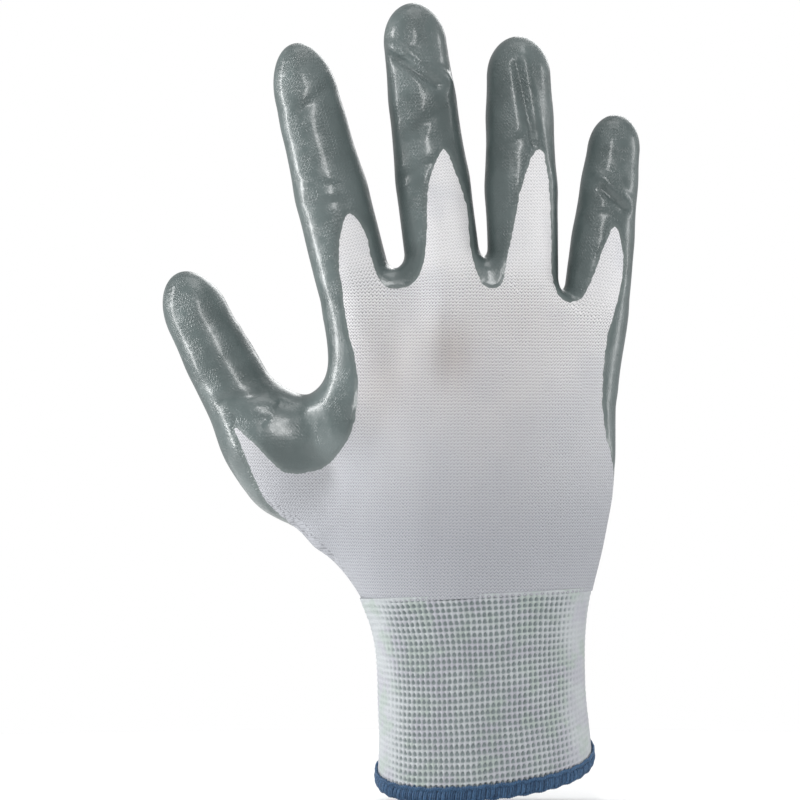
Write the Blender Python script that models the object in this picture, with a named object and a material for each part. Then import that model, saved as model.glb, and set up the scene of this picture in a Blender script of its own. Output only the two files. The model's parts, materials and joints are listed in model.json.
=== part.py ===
"""A dipped knit work glove for a right hand, in the shape it takes on an upright, open hand.

Frame: metres, +Z up along the hand, origin at the centre of the wrist opening. The back of the
hand faces -Y, the palm faces +Y and the thumb points to -X. The glove is a knit liner inside a
rubber film. Each finger stall is cut into rigid lengths at its folds, mitred on the palm side so
that the lengths can turn towards each other without meeting.
"""

import math
from dataclasses import dataclass

import bmesh
import bpy
from mathutils import Vector

MM = 0.001

# Depth of each layer under the glove's outer surface.
CLEARANCE = 0.3 * MM
FILM_THICKNESS, LINER_THICKNESS, CUFF_THICKNESS = 0.5 * MM, 0.9 * MM, 1.2 * MM
FILM_OUT = 0.0
FILM_IN = FILM_OUT + FILM_THICKNESS
LINER_OUT = FILM_IN + CLEARANCE
LINER_IN = LINER_OUT + LINER_THICKNESS
CUFF_IN = LINER_OUT + CUFF_THICKNESS

SIDES = 16  # facets round a stall
HAND_SIDES = 28  # facets round the hand and the cuff
HAND_SQUARENESS = 2.3  # 2 is an ellipse, more is squarer
FOLD_GAP = 0.45 * MM  # between two lengths of a stall, on each side of the fold
SHARP_ANGLE = math.radians(40)
RING_PASSES = 3  # a mitred ring's width and place depend on each other, and settle in these
ROOT_STEPS = 4  # rings up a stall's root
DOME_TURNS = (0, 28, 52, 70, 83)  # degrees up a stall's rounded tip
CROWN_TURNS = (30, 60, 80)  # degrees up the hand's closed end
CLEARING_LENGTH = 16 * MM  # of what is cleared round a stall's first length
ROOT_RUN_PAST = 12 * MM  # how far a hollow's root runs past the first fold
HOLLOW_RUN_PAST = 6 * MM  # how far a hollow runs out of the lower end

# The hand's girth: height, thumb-side x, little-finger-side x, back y, palm y, all in mm.
HAND_STATIONS = (
    (-6, -32.6, 34.0, -22.0, 22.0),
    (4, -32.1, 33.9, -21.8, 21.8),
    (12, -31.9, 32.9, -21.4, 21.4),
    (20, -31.9, 32.0, -21.0, 21.0),
    (30, -32.1, 31.6, -20.7, 20.8),
    (40, -32.8, 31.8, -20.4, 21.2),
    (48, -34.6, 32.7, -19.9, 22.6),
    (55, -37.6, 33.9, -19.2, 24.0),
    (62, -40.0, 35.7, -18.4, 25.0),
    (70, -41.5, 37.6, -17.6, 25.2),
    (84, -43.5, 40.6, -16.4, 24.0),
    (97, -45.2, 41.2, -15.6, 21.0),
    (110, -46.5, 41.0, -15.0, 17.8),
    (122, -47.1, 41.3, -14.4, 15.5),
    (132, -47.2, 42.0, -13.8, 14.0),
    (143, -48.2, 43.6, -13.0, 13.2),
)
HAND_MIDDLE_Y = 1.0 * MM
SHOULDER_Z = 143 * MM  # the hand closes over between the fingers above this
CROWN_Z = 159 * MM
CROTCH_ARCH_X, CROTCH_ARCH_WIDTH, CROTCH_ARCH_DROP = -8 * MM, 30 * MM, 9 * MM
ARCH_STARTS_Z = 113 * MM
# The wrist opening leans: its slope along x and along y, and the heights where each has gone.
OPENING_SLOPE_X, LEVEL_IN_X_Z = 0.10, 110 * MM
OPENING_SLOPE_Y, LEVEL_IN_Y_Z = 0.34, 50 * MM

HEM_HEIGHT = 5.5 * MM
HEM_SECTION = (  # height above the opening and depth under the surface, in mm
    (0.0, 0.5), (1.1, -0.4), (2.7, -0.7), (4.4, -0.4), (5.5, 0.4),
    (5.5, 2.2), (4.4, 2.9), (2.7, 3.1), (1.1, 2.8), (0.0, 1.9),
)
CUFF_TOP_Z = 54.4 * MM
CUFF_STATIONS = (10, 48)  # the hand's stations between these heights shape the cuff, mm
FILM_FOOT_Z = 57 * MM

YARN_RADIUS = 0.3 * MM
YARN_TURNS = 8
YARN_POINTS_PER_TURN = 18
YARN_GAP = 0.5 * MM  # between the cuff's inside and the yarn
YARN_MARGIN = 4 * MM  # between the yarn and each end of the cuff

DORSAL_WINDOW_X = (-41 * MM, 38 * MM)
DORSAL_WINDOW_Y = -2 * MM
DORSAL_WINDOW_SIZE_Y = 60 * MM
DORSAL_WINDOW_Z = (-10 * MM, 250 * MM)


@dataclass(frozen=True)
class Fold:
    """A crease across a stall: its place along the stall, and how far it turns each way."""

    at: float
    forward: float
    back: float = 0.0


@dataclass(frozen=True)
class Stall:
    """A finger of the glove. Places along it are in metres from its root, at the crotch line."""

    name: str
    root: Vector
    lean: float  # degrees from upright, towards the thumb side
    reach: float  # how much the stall comes forward to the palm side, per unit of its length
    turn: float  # degrees that its palm side is turned about its own length
    length: float
    girth: tuple  # (place along it, half width), in mm
    dome: float  # length of the rounded tip
    depth: float  # its thickness over its width
    curl: float  # how far the tip stands off the straight line, to the palm side
    folds: tuple
    window: float  # half width of the bare strip on its back, as a share of its half width

    @property
    def axis(self):
        lean = math.radians(self.lean)
        return Vector((-math.sin(lean), self.reach, math.cos(lean))).normalized()

    @property
    def palmar(self):
        """The direction that its palm side faces, square to its length."""
        turn = math.radians(self.turn)
        flat_side = Vector((0, 1, 0)).cross(self.axis).normalized()
        flat_front = self.axis.cross(flat_side)
        return flat_front * math.cos(turn) + flat_side * math.sin(turn)

    @property
    def side(self):
        return self.palmar.cross(self.axis)

    @property
    def hinge(self):
        """A positive turn about this folds the stall to the palm side."""
        return self.axis.cross(self.palmar)

    def middle(self, s):
        """The centre of the stall at s along it."""
        bow = self.curl * (max(s, 0.0) / self.length) ** 2
        return self.root + self.axis * s + self.palmar * bow

    def half_width(self, s, inset):
        places = [at * MM for at, _ in self.girth]
        widths = [wide * MM for _, wide in self.girth]
        full = between(s, places, widths) - inset
        start = self.length - self.dome
        past = max(0.0, s - start) / (self.dome - inset)
        return full * math.sqrt(max(0.0, 1 - past * past))


FINGERS = (
    Stall("index", Vector((-39.0, -1.0, 149.3)) * MM, 14.2, 0.0, 0.0, 76.2 * MM,
          ((-25, 8.5), (-8, 11.5), (0, 11.7), (17, 11.5), (28, 11.2), (43, 10.4), (58, 9.6)),
          17.0 * MM, 0.88, 6 * MM,
          (Fold(9.5 * MM, 60, 10), Fold(29 * MM, 80), Fold(51.5 * MM, 40)), 0.50),
    Stall("middle", Vector((-11.2, -2.5, 149.9)) * MM, 7.2, 0.0, 0.0, 86.4 * MM,
          ((-25, 8.5), (-8, 11.4), (0, 11.5), (26, 11.5), (41, 10.8), (56, 10.3), (73, 9.5)),
          12.8 * MM, 0.88, 7 * MM,
          (Fold(10.5 * MM, 60, 10), Fold(31.5 * MM, 80), Fold(57 * MM, 40)), 0.75),
    Stall("ring", Vector((12.6, -1.5, 149.3)) * MM, 1.2, 0.0, 0.0, 76.2 * MM,
          ((-25, 8.2), (-8, 10.8), (0, 10.9), (27, 11.1), (42, 10.6), (56, 10.1), (64, 9.6)),
          12.7 * MM, 0.88, 7 * MM,
          (Fold(10.5 * MM, 60, 10), Fold(29.5 * MM, 80), Fold(51.5 * MM, 40)), 0.70),
    Stall("little", Vector((34.3, 1.5, 139.5)) * MM, -6.8, 0.0, 0.0, 62.4 * MM,
          ((-25, 7.6), (-8, 10.0), (0, 10.3), (15, 10.0), (26, 9.4), (37, 8.9), (50, 8.0)),
          11.5 * MM, 0.88, 6 * MM,
          (Fold(9.5 * MM, 60, 10), Fold(24.5 * MM, 80), Fold(42 * MM, 40)), 0.55),
)
THUMB = Stall(
    "thumb", Vector((-69.0, 11.0, 105.2)) * MM, 29.7, 0.05, 35.0, 54.0 * MM,
    ((-22, 12.5), (-13, 13.0), (0, 12.6), (8, 12.0), (24, 11.0), (40, 10.2)),
    12.0 * MM, 0.94, 3 * MM,
    (Fold(8 * MM, 40, 10), Fold(26 * MM, 60)), 0.45)
STUB_FOOT = -25 * MM
THUMB_FOOT = -22 * MM
WEB_CENTRE = Vector((-54.0, 7.5, 97.5)) * MM
WEB_RADII = Vector((17.0, 9.5, 19.5)) * MM

# The ball of the thumb, from inside the wrist to the thumb's root: centre x, y, z and half width.
THUMB_BALL = (
    (-24.0, 5.5, 64.0, 9.0),
    (-32.0, 6.8, 69.5, 12.4),
    (-42.5, 8.5, 78.0, 13.6),
    (-52.5, 10.0, 88.0, 13.2),
    (-57.5, 10.8, 94.0, 12.2),
    (-61.0, 11.0, 98.5, 10.2),
)
THUMB_BALL_DEPTH = 1.06


def between(x, places, values):
    """The value at x on straight lines between the given ones."""
    if x <= places[0]:
        return values[0]
    for i in range(1, len(places)):
        if x <= places[i]:
            share = (x - places[i - 1]) / (places[i] - places[i - 1])
            return values[i - 1] + share * (values[i] - values[i - 1])
    return values[-1]


# ---------------------------------------------------------------------------- Blender helpers


def clear_scene():
    for obj in list(bpy.data.objects):
        bpy.data.objects.remove(obj, do_unlink=True)


def new_collection(name):
    made = bpy.data.collections.new(name)
    bpy.context.scene.collection.children.link(made)
    return made


def new_material(name, colour, roughness):
    material = bpy.data.materials.new(name)
    material.use_nodes = True
    shader = material.node_tree.nodes["Principled BSDF"]
    shader.inputs["Base Color"].default_value = (*colour, 1.0)
    shader.inputs["Roughness"].default_value = roughness
    shader.inputs["Metallic"].default_value = 0.0
    return material


def loft(name, rings, closed_loop=False):
    """A closed body through rings of points. closed_loop joins the last ring to the first."""
    mesh = bpy.data.meshes.new(name)
    bm = bmesh.new()
    loops = [[bm.verts.new(p) for p in ring] for ring in rings]
    pairs = list(zip(loops, loops[1:]))
    if closed_loop:
        pairs.append((loops[-1], loops[0]))
    for low, high in pairs:
        for i in range(len(low)):
            j = (i + 1) % len(low)
            bm.faces.new((low[i], low[j], high[j], high[i]))
    if not closed_loop:
        bm.faces.new(loops[0])
        bm.faces.new(reversed(loops[-1]))
    bmesh.ops.recalc_face_normals(bm, faces=bm.faces)
    bm.to_mesh(mesh)
    bm.free()
    return bpy.data.objects.new(name, mesh)


def box(name, size, centre, across=Vector((1, 0, 0)), up=Vector((0, 0, 1))):
    """A box of that size, with its first side along across and its last along up."""
    bm = bmesh.new()
    bmesh.ops.create_cube(bm, size=1.0)
    deep = up.cross(across)
    for vert in bm.verts:
        x, y, z = vert.co
        vert.co = centre + across * (x * size[0]) + deep * (y * size[1]) + up * (z * size[2])
    bmesh.ops.recalc_face_normals(bm, faces=bm.faces)
    mesh = bpy.data.meshes.new(name)
    bm.to_mesh(mesh)
    bm.free()
    return bpy.data.objects.new(name, mesh)


def ellipsoid(name, centre, radii):
    bm = bmesh.new()
    bmesh.ops.create_uvsphere(bm, u_segments=SIDES, v_segments=SIDES // 2, radius=1.0)
    for vert in bm.verts:
        vert.co = centre + Vector(c * r for c, r in zip(vert.co, radii))
    mesh = bpy.data.meshes.new(name)
    bm.to_mesh(mesh)
    bm.free()
    return bpy.data.objects.new(name, mesh)


class Workshop:
    """Keeps the glove's parts in one collection and the shapes that cut or fill them in another."""

    def __init__(self):
        self.parts = new_collection("work_glove")
        self.cutters = new_collection("cutters")

    def part(self, obj, material):
        obj.data.materials.append(material)
        for polygon in getattr(obj.data, "polygons", []):
            polygon.use_smooth = True
        if obj.type == "MESH":
            obj.data.set_sharp_from_angle(angle=SHARP_ANGLE)
        self.parts.objects.link(obj)
        return obj

    def tool(self, obj):
        obj.hide_render = True
        obj.display_type = "WIRE"
        self.cutters.objects.link(obj)
        return obj

    def combine(self, target, operation, tools, solver="EXACT"):
        """Joins the tools to the target, or cuts them from it, one Boolean for each."""
        for tool in tools:
            step = target.modifiers.new(f"{operation.lower()}_{tool.name}", "BOOLEAN")
            step.operation = operation
            step.solver = solver
            step.object = self.tool(tool)


# ---------------------------------------------------------------------------- shapes


def stall_ring(stall, place_at, inset):
    """One ring of points round a stall. place_at gives the place along it from the depth to the
    palm side, so that a ring can follow a mitre."""
    points = []
    for i in range(SIDES):
        angle = 2 * math.pi * i / SIDES
        s = place_at(0.0)
        for _ in range(RING_PASSES):  # the width depends on the place, and the place on the depth
            half = stall.half_width(s, inset)
            deep = half * stall.depth * math.sin(angle)
            s = place_at(deep)
        wide = half * math.cos(angle)
        points.append(stall.middle(s) + stall.side * wide + stall.palmar * deep)
    return points


def mitre(fold, upwards, gap=FOLD_GAP):
    """Where a length of a stall ends at a fold, by depth to the palm side."""
    forward = math.tan(math.radians(fold.forward / 2))
    back = math.tan(math.radians(fold.back / 2))
    sign = 1 if upwards else -1
    return lambda deep: fold.at + sign * (gap + max(deep, 0) * forward - min(deep, 0) * back)


def stall_rings(stall, start, end, inset, steps):
    """Rings from start to end along a stall, each spaced evenly between the two ends' shapes."""
    rings = []
    for k in range(steps + 1):
        share = k / steps
        rings.append(stall_ring(
            stall, lambda deep, t=share: start(deep) * (1 - t) + end(deep) * t, inset))
    return rings


def dome_rings(stall, inset):
    """Rings over the rounded tip, from the widest to a small one at the end."""
    start = stall.length - stall.dome
    reach = stall.dome - inset
    rings = []
    for degrees in DOME_TURNS:
        place = start + reach * math.sin(math.radians(degrees))
        rings.append(stall_ring(stall, lambda deep, s=place: s, inset))
    return rings


def stall_length(stall, number, outer, inner, name):
    """One rigid length of a stall as a tube with a wall, the last one closed by its tip."""
    start = mitre(stall.folds[number], upwards=True)
    if number + 1 < len(stall.folds):
        end = mitre(stall.folds[number + 1], upwards=False)
        outside = stall_rings(stall, start, end, outer, 2)
        inside = stall_rings(stall, start, end, inner, 2)
        return loft(name, outside + inside[::-1], closed_loop=True)
    begin_dome = stall.length - stall.dome
    outside = stall_rings(stall, start, lambda deep: begin_dome, outer, 1)[:-1]
    inside = stall_rings(stall, start, lambda deep: begin_dome, inner, 1)[:-1]
    outside += dome_rings(stall, outer)
    inside += dome_rings(stall, inner)
    return loft(name, outside[::-1] + inside)


def fold_clearing(layer, stall):
    """What the first length of a stall needs free round it, from the end of its root upwards."""
    clear = stall.folds[0].at + CLEARING_LENGTH
    start = mitre(stall.folds[0], upwards=False, gap=FOLD_GAP / 2)
    rings = stall_rings(stall, start, lambda deep: clear, -CLEARANCE, 1)
    return loft(f"{layer}_{stall.name}_clearing", rings)


def stub(layer, stall, inset, past=0.0):
    """The solid root of a stall, from inside the hand to its first fold. past adds a stretch
    beyond the fold, for a shape that hollows another."""
    foot = (THUMB_FOOT if stall is THUMB else STUB_FOOT) + inset
    fold = stall.folds[0]
    rings = stall_rings(
        stall, lambda deep: foot, mitre(fold, upwards=False), inset, ROOT_STEPS)
    if past:
        rings.append(stall_ring(stall, lambda deep: fold.at + past, inset))
    return loft(f"{layer}_{stall.name}_root", rings)


def hand_ring(height, inset, shrink=1.0):
    """One ring of points round the hand or the cuff at that height."""
    heights = [row[0] * MM for row in HAND_STATIONS]
    left, right, back, palm = (
        between(height, heights, [row[k] * MM for row in HAND_STATIONS]) for k in range(1, 5))
    left, right, back, palm = left + inset, right - inset, back + inset, palm - inset
    middle_x, half = (left + right) / 2, (right - left) / 2
    power = 2 / HAND_SQUARENESS
    rise = max(0.0, height - ARCH_STARTS_Z) / (CROWN_Z - ARCH_STARTS_Z)
    lean_x = OPENING_SLOPE_X * max(0.0, 1 - height / LEVEL_IN_X_Z)
    lean_y = OPENING_SLOPE_Y * max(0.0, 1 - height / LEVEL_IN_Y_Z)
    points = []
    for i in range(HAND_SIDES):
        angle = 2 * math.pi * i / HAND_SIDES
        c, s = math.cos(angle), math.sin(angle)
        deep = (palm if s > 0 else -back) - (HAND_MIDDLE_Y if s > 0 else -HAND_MIDDLE_Y)
        x = middle_x + half * shrink * math.copysign(abs(c) ** power, c)
        y = HAND_MIDDLE_Y + deep * shrink * math.copysign(abs(s) ** power, s)
        arch = CROTCH_ARCH_DROP * min(1.0, ((x - CROTCH_ARCH_X) / CROTCH_ARCH_WIDTH) ** 2)
        points.append(Vector((x, y, height - rise * arch + lean_x * x + lean_y * y)))
    return points


def hand_solid(name, bottom, top, inset):
    """The hand between two heights, closed over between the fingers if top is past the shoulder."""
    inner = [row[0] * MM for row in HAND_STATIONS if bottom < row[0] * MM < min(top, SHOULDER_Z)]
    rings = [hand_ring(height, inset) for height in (bottom, *inner, min(top, SHOULDER_Z))]
    if top > SHOULDER_Z:
        reach = CROWN_Z - inset - SHOULDER_Z
        for degrees in CROWN_TURNS:
            turned = math.radians(degrees)
            height = SHOULDER_Z + reach * math.sin(turned)
            rings.append(hand_ring(height, inset, shrink=math.cos(turned)))
    return loft(name, rings)


# ---------------------------------------------------------------------------- the glove


def build_fingers(shop, knit, film):
    """Each stall's lengths, in the liner's layer and in the film's."""
    names = {3: ("base", "mid", "tip"), 2: ("base", "tip")}
    for stall in (*FINGERS, THUMB):
        for number, length in enumerate(names[len(stall.folds)]):
            shop.part(stall_length(stall, number, LINER_OUT, LINER_IN,
                                   f"liner_{stall.name}_{length}"), knit)
            coat = shop.part(stall_length(stall, number, FILM_OUT, FILM_IN,
                                          f"film_{stall.name}_{length}"), film)
            if number == 0:
                cut_window(shop, coat, stall)


def cut_window(shop, coat, stall):
    """Opens the film along the back of a stall's first length, where the knit stays bare."""
    half = stall.half_width(stall.folds[0].at, 0)
    height = 2 * stall.length
    window = box(f"window_{stall.name}", (2 * half * stall.window, half, height),
                 stall.middle(0.0) - stall.palmar * half, stall.side, stall.axis)
    shop.combine(coat, "DIFFERENCE", [window], solver="MANIFOLD")


def thumb_ball(name, inset):
    """The ball of the thumb as a solid, each ring square to the line from the one before it."""
    centres = [Vector(row[:3]) * MM for row in THUMB_BALL]
    along = (centres[-1] - centres[0]).normalized()
    flat = THUMB.palmar - along * THUMB.palmar.dot(along)
    deep = flat.normalized()
    wide = deep.cross(along)
    rings = []
    centres[0] += along * inset
    centres[-1] -= along * inset
    for centre, row in zip(centres, THUMB_BALL):
        half = row[3] * MM - inset
        turns = [2 * math.pi * i / SIDES for i in range(SIDES)]
        rings.append([centre + wide * (half * math.cos(a))
                      + deep * (half * THUMB_BALL_DEPTH * math.sin(a)) for a in turns])
    return loft(name, rings)


def hand_shape(shop, name, depth, bottom, past=0.0):
    """The hand's own form joined with its web, the ball of the thumb and the stalls' roots, at
    one depth. past runs the roots on through their ends, for a shape that hollows another."""
    whole = hand_solid(name, bottom, CROWN_Z, depth)
    web = ellipsoid(f"{name}_web", WEB_CENTRE, WEB_RADII - Vector((depth,) * 3))
    roots = [stub(name, stall, depth, past) for stall in (*FINGERS, THUMB)]
    shop.combine(whole, "UNION", [web, thumb_ball(f"{name}_ball", depth), *roots])
    return whole


def hollow_out(shop, whole, depth, bottom):
    """Hollows the hand's form, and clears round the first length of each stall."""
    inner = hand_shape(shop, f"{whole.name}_hollow", depth, bottom, past=ROOT_RUN_PAST)
    clearings = [fold_clearing(whole.name, stall) for stall in (*FINGERS, THUMB)]
    shop.combine(inner, "UNION", clearings)
    shop.combine(whole, "DIFFERENCE", [inner], solver="MANIFOLD")


def build_hand_liner(shop, knit):
    """The liner's hand, with the root of each stall."""
    whole = hand_shape(shop, "liner_hand", LINER_OUT, CUFF_TOP_Z + CLEARANCE)
    shop.part(whole, knit)
    hollow_out(shop, whole, LINER_IN, CUFF_TOP_Z - HOLLOW_RUN_PAST)


def build_palm_film(shop, film):
    """The film over the palm and round both edges of the hand, open over the back."""
    coat = hand_shape(shop, "film_palm", FILM_OUT, FILM_FOOT_Z)
    shop.part(coat, film)
    hollow_out(shop, coat, FILM_IN, FILM_FOOT_Z - HOLLOW_RUN_PAST)
    low, high = DORSAL_WINDOW_X
    foot, top = DORSAL_WINDOW_Z
    centre = Vector(
        ((low + high) / 2, DORSAL_WINDOW_Y - DORSAL_WINDOW_SIZE_Y / 2, (foot + top) / 2))
    window = box("back_window", (high - low, DORSAL_WINDOW_SIZE_Y, top - foot), centre)
    shop.combine(coat, "DIFFERENCE", [window], solver="MANIFOLD")


def build_cuff(shop, knit, thread, elastic):
    """The ribbed cuff, the elastic yarn laid in it and the overlocked hem round its edge."""
    lowest, highest = CUFF_STATIONS
    heights = [HEM_HEIGHT + CLEARANCE]
    heights += [row[0] * MM for row in HAND_STATIONS if lowest <= row[0] <= highest]
    heights.append(CUFF_TOP_Z - CLEARANCE)
    outside = [hand_ring(height, LINER_OUT) for height in heights]
    inside = [hand_ring(height, CUFF_IN) for height in heights]
    shop.part(loft("cuff", outside + inside[::-1], closed_loop=True), knit)

    hem = [hand_ring(height * MM, depth * MM) for height, depth in HEM_SECTION]
    shop.part(loft("hem_overlock", hem, closed_loop=True), thread)

    shop.part(elastic_yarn(), elastic)


def elastic_yarn():
    """One elastic yarn wound up the inside of the cuff in a flattened helix."""
    low, high = HEM_HEIGHT + YARN_MARGIN, CUFF_TOP_Z - YARN_MARGIN
    depth = CUFF_IN + YARN_GAP + YARN_RADIUS
    count = YARN_TURNS * YARN_POINTS_PER_TURN
    points = []
    for i in range(count + 1):
        height = low + (high - low) * i / count
        whole = hand_ring(height, depth)
        angle = (i / YARN_POINTS_PER_TURN) % 1 * HAND_SIDES
        k, share = int(angle) % HAND_SIDES, angle - int(angle)
        points.append(whole[k].lerp(whole[(k + 1) % HAND_SIDES], share))
    curve = bpy.data.curves.new("cuff_elastic_yarn", "CURVE")
    curve.dimensions = "3D"
    curve.bevel_depth = YARN_RADIUS
    curve.bevel_resolution = 1
    curve.use_fill_caps = True
    spline = curve.splines.new("POLY")
    spline.points.add(count)
    for point, place in zip(spline.points, points):
        point.co = (*place, 1.0)
    return bpy.data.objects.new("cuff_elastic_yarn", curve)


def main():
    clear_scene()
    shop = Workshop()
    knit = new_material("white_knit", (0.78, 0.78, 0.80), 0.85)
    film = new_material("grey_film", (0.16, 0.20, 0.195), 0.32)
    thread = new_material("blue_thread", (0.045, 0.13, 0.30), 0.7)
    elastic = new_material("elastic_yarn", (0.70, 0.72, 0.70), 0.6)
    build_fingers(shop, knit, film)
    build_hand_liner(shop, knit)
    build_palm_film(shop, film)
    build_cuff(shop, knit, thread, elastic)


if __name__ == "__main__":
    main()
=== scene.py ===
"""A dipped knit work glove for a right hand, dressed round its fixed frame.

The knit liner and the rubber film on it are one continuous skin. Its form is worked out as a
field of distances from the stalls, the thumb and the hand, meshed once, and then cut into one
length for each of the frame's bodies. The cuff is knitted stitch by stitch in relief, and the
hem is wound from its own overlock threads.
"""

import json
import logging
import math
from dataclasses import dataclass, field
from enum import Enum

import bpy
import numpy as np
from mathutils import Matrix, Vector, noise


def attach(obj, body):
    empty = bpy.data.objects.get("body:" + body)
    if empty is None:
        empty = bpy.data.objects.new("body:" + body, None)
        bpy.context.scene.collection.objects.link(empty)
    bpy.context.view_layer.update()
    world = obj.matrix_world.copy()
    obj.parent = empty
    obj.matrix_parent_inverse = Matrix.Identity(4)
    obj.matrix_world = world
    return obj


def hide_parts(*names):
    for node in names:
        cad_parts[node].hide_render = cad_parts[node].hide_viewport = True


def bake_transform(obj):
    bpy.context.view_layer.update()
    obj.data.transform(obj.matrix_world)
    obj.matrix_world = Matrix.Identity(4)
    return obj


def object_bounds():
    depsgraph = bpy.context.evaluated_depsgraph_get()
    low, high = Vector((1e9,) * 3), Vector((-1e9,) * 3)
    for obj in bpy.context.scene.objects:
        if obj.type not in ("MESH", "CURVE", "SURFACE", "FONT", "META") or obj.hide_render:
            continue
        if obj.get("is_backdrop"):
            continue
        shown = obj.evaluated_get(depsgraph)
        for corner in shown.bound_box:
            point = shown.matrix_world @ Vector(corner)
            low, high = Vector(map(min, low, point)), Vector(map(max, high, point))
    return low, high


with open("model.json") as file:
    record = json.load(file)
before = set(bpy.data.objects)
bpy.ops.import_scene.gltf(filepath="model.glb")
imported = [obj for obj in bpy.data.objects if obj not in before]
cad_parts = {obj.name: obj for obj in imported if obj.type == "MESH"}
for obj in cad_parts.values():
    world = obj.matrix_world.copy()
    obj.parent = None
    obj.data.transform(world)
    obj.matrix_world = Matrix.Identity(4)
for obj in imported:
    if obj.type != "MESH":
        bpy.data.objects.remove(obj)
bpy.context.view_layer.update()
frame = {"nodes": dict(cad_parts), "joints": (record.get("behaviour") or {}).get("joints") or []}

MM = 0.001
TURN = 2 * math.pi
TINY = 1e-12  # keeps a divisor off zero
LOG = logging.getLogger("work_glove")

Array = np.ndarray
Socket = bpy.types.NodeSocket


class Side(Enum):
    """Which face of the hand something belongs to."""

    BACK = "back"
    PALM = "palm"


# ------------------------------------------------------------------------------ small sums


def smooth(low: float, high: float, value: Array) -> Array:
    """Ease from 0 at low to 1 at high.

    Args:
        low: where the ease starts.
        high: where it ends.
        value: the values to ease.

    Returns:
        The eased values.
    """
    share = np.clip((value - low) / (high - low), 0.0, 1.0)
    return share * share * (3.0 - 2.0 * share)


def melt(first: Array, second: Array, width: float) -> Array:
    """Join two distance fields with a fillet.

    Args:
        first: one field.
        second: the other.
        width: how wide the fillet is, in metres.

    Returns:
        The joined field.
    """
    share = np.clip(0.5 + 0.5 * (second - first) / width, 0.0, 1.0)
    return second * (1 - share) + first * share - width * share * (1 - share)


def rounded_row(places: tuple[float, ...], values: tuple[float, ...], at: Array) -> Array:
    """Read a row of sizes as a smooth curve instead of straight runs.

    Args:
        places: where the sizes are given, rising.
        values: the sizes.
        at: where to read them.

    Returns:
        The size at each place.
    """
    spread = 0.35 * float(np.mean(np.diff(places)))
    total = np.zeros_like(at, dtype=float)
    for shift, weight in ((-1.0, 0.25), (0.0, 0.5), (1.0, 0.25)):
        total += weight * np.interp(at + shift * spread, places, values)
    return total


def drift_noise(points: Array, wavelength: float, seed: float) -> Array:
    """Smooth noise over the points, from about -1 to 1.

    Args:
        points: places in metres.
        wavelength: the size of its swells, in metres.
        seed: moves the sample so that two noises differ.

    Returns:
        One value for each point.
    """
    scaled = points / wavelength + seed
    return np.array([noise.noise(Vector(p)) for p in scaled.tolist()])


# ------------------------------------------------------------------------------ the forms

PALM_RIDGE = 0.4
KNUCKLE_SWELL = 0.28 * MM  # how far a finger joint widens its stall
KNUCKLE_REACH = 5 * MM
PAD_SWELL = 0.05  # share by which the finger pads stand out on the palm side
PAD_PITCH = 21 * MM
BACK_FLATNESS = 0.97
RIDGE_AWAY = 1.9  # a crease's ridge from its furrow, in widths
RIDGE_WIDTH = 1.3
RIDGE_RUN = 2.6  # how far the ridge reaches past the furrow's ends, in widths
RIDGE_FADE = 1.2


@dataclass(frozen=True)
class Crease:
    """A furrow with a soft ridge beside it, on a stall's own unrolled face.

    Ends are (place along the stall, offset across it from the middle of that face), in mm.
    """

    start: tuple[float, float]
    end: tuple[float, float]
    depth: float
    width: float
    ridge: float = 0.5  # the soft ridge's height, as a share of the depth
    side: Side = Side.BACK


def palm_fold(along: float, half: float, depth: float, width: float) -> Crease:
    """A fold straight across a stall's palm side, in mm."""
    return Crease((along, -half), (along, half), depth, width, PALM_RIDGE, Side.PALM)


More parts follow.
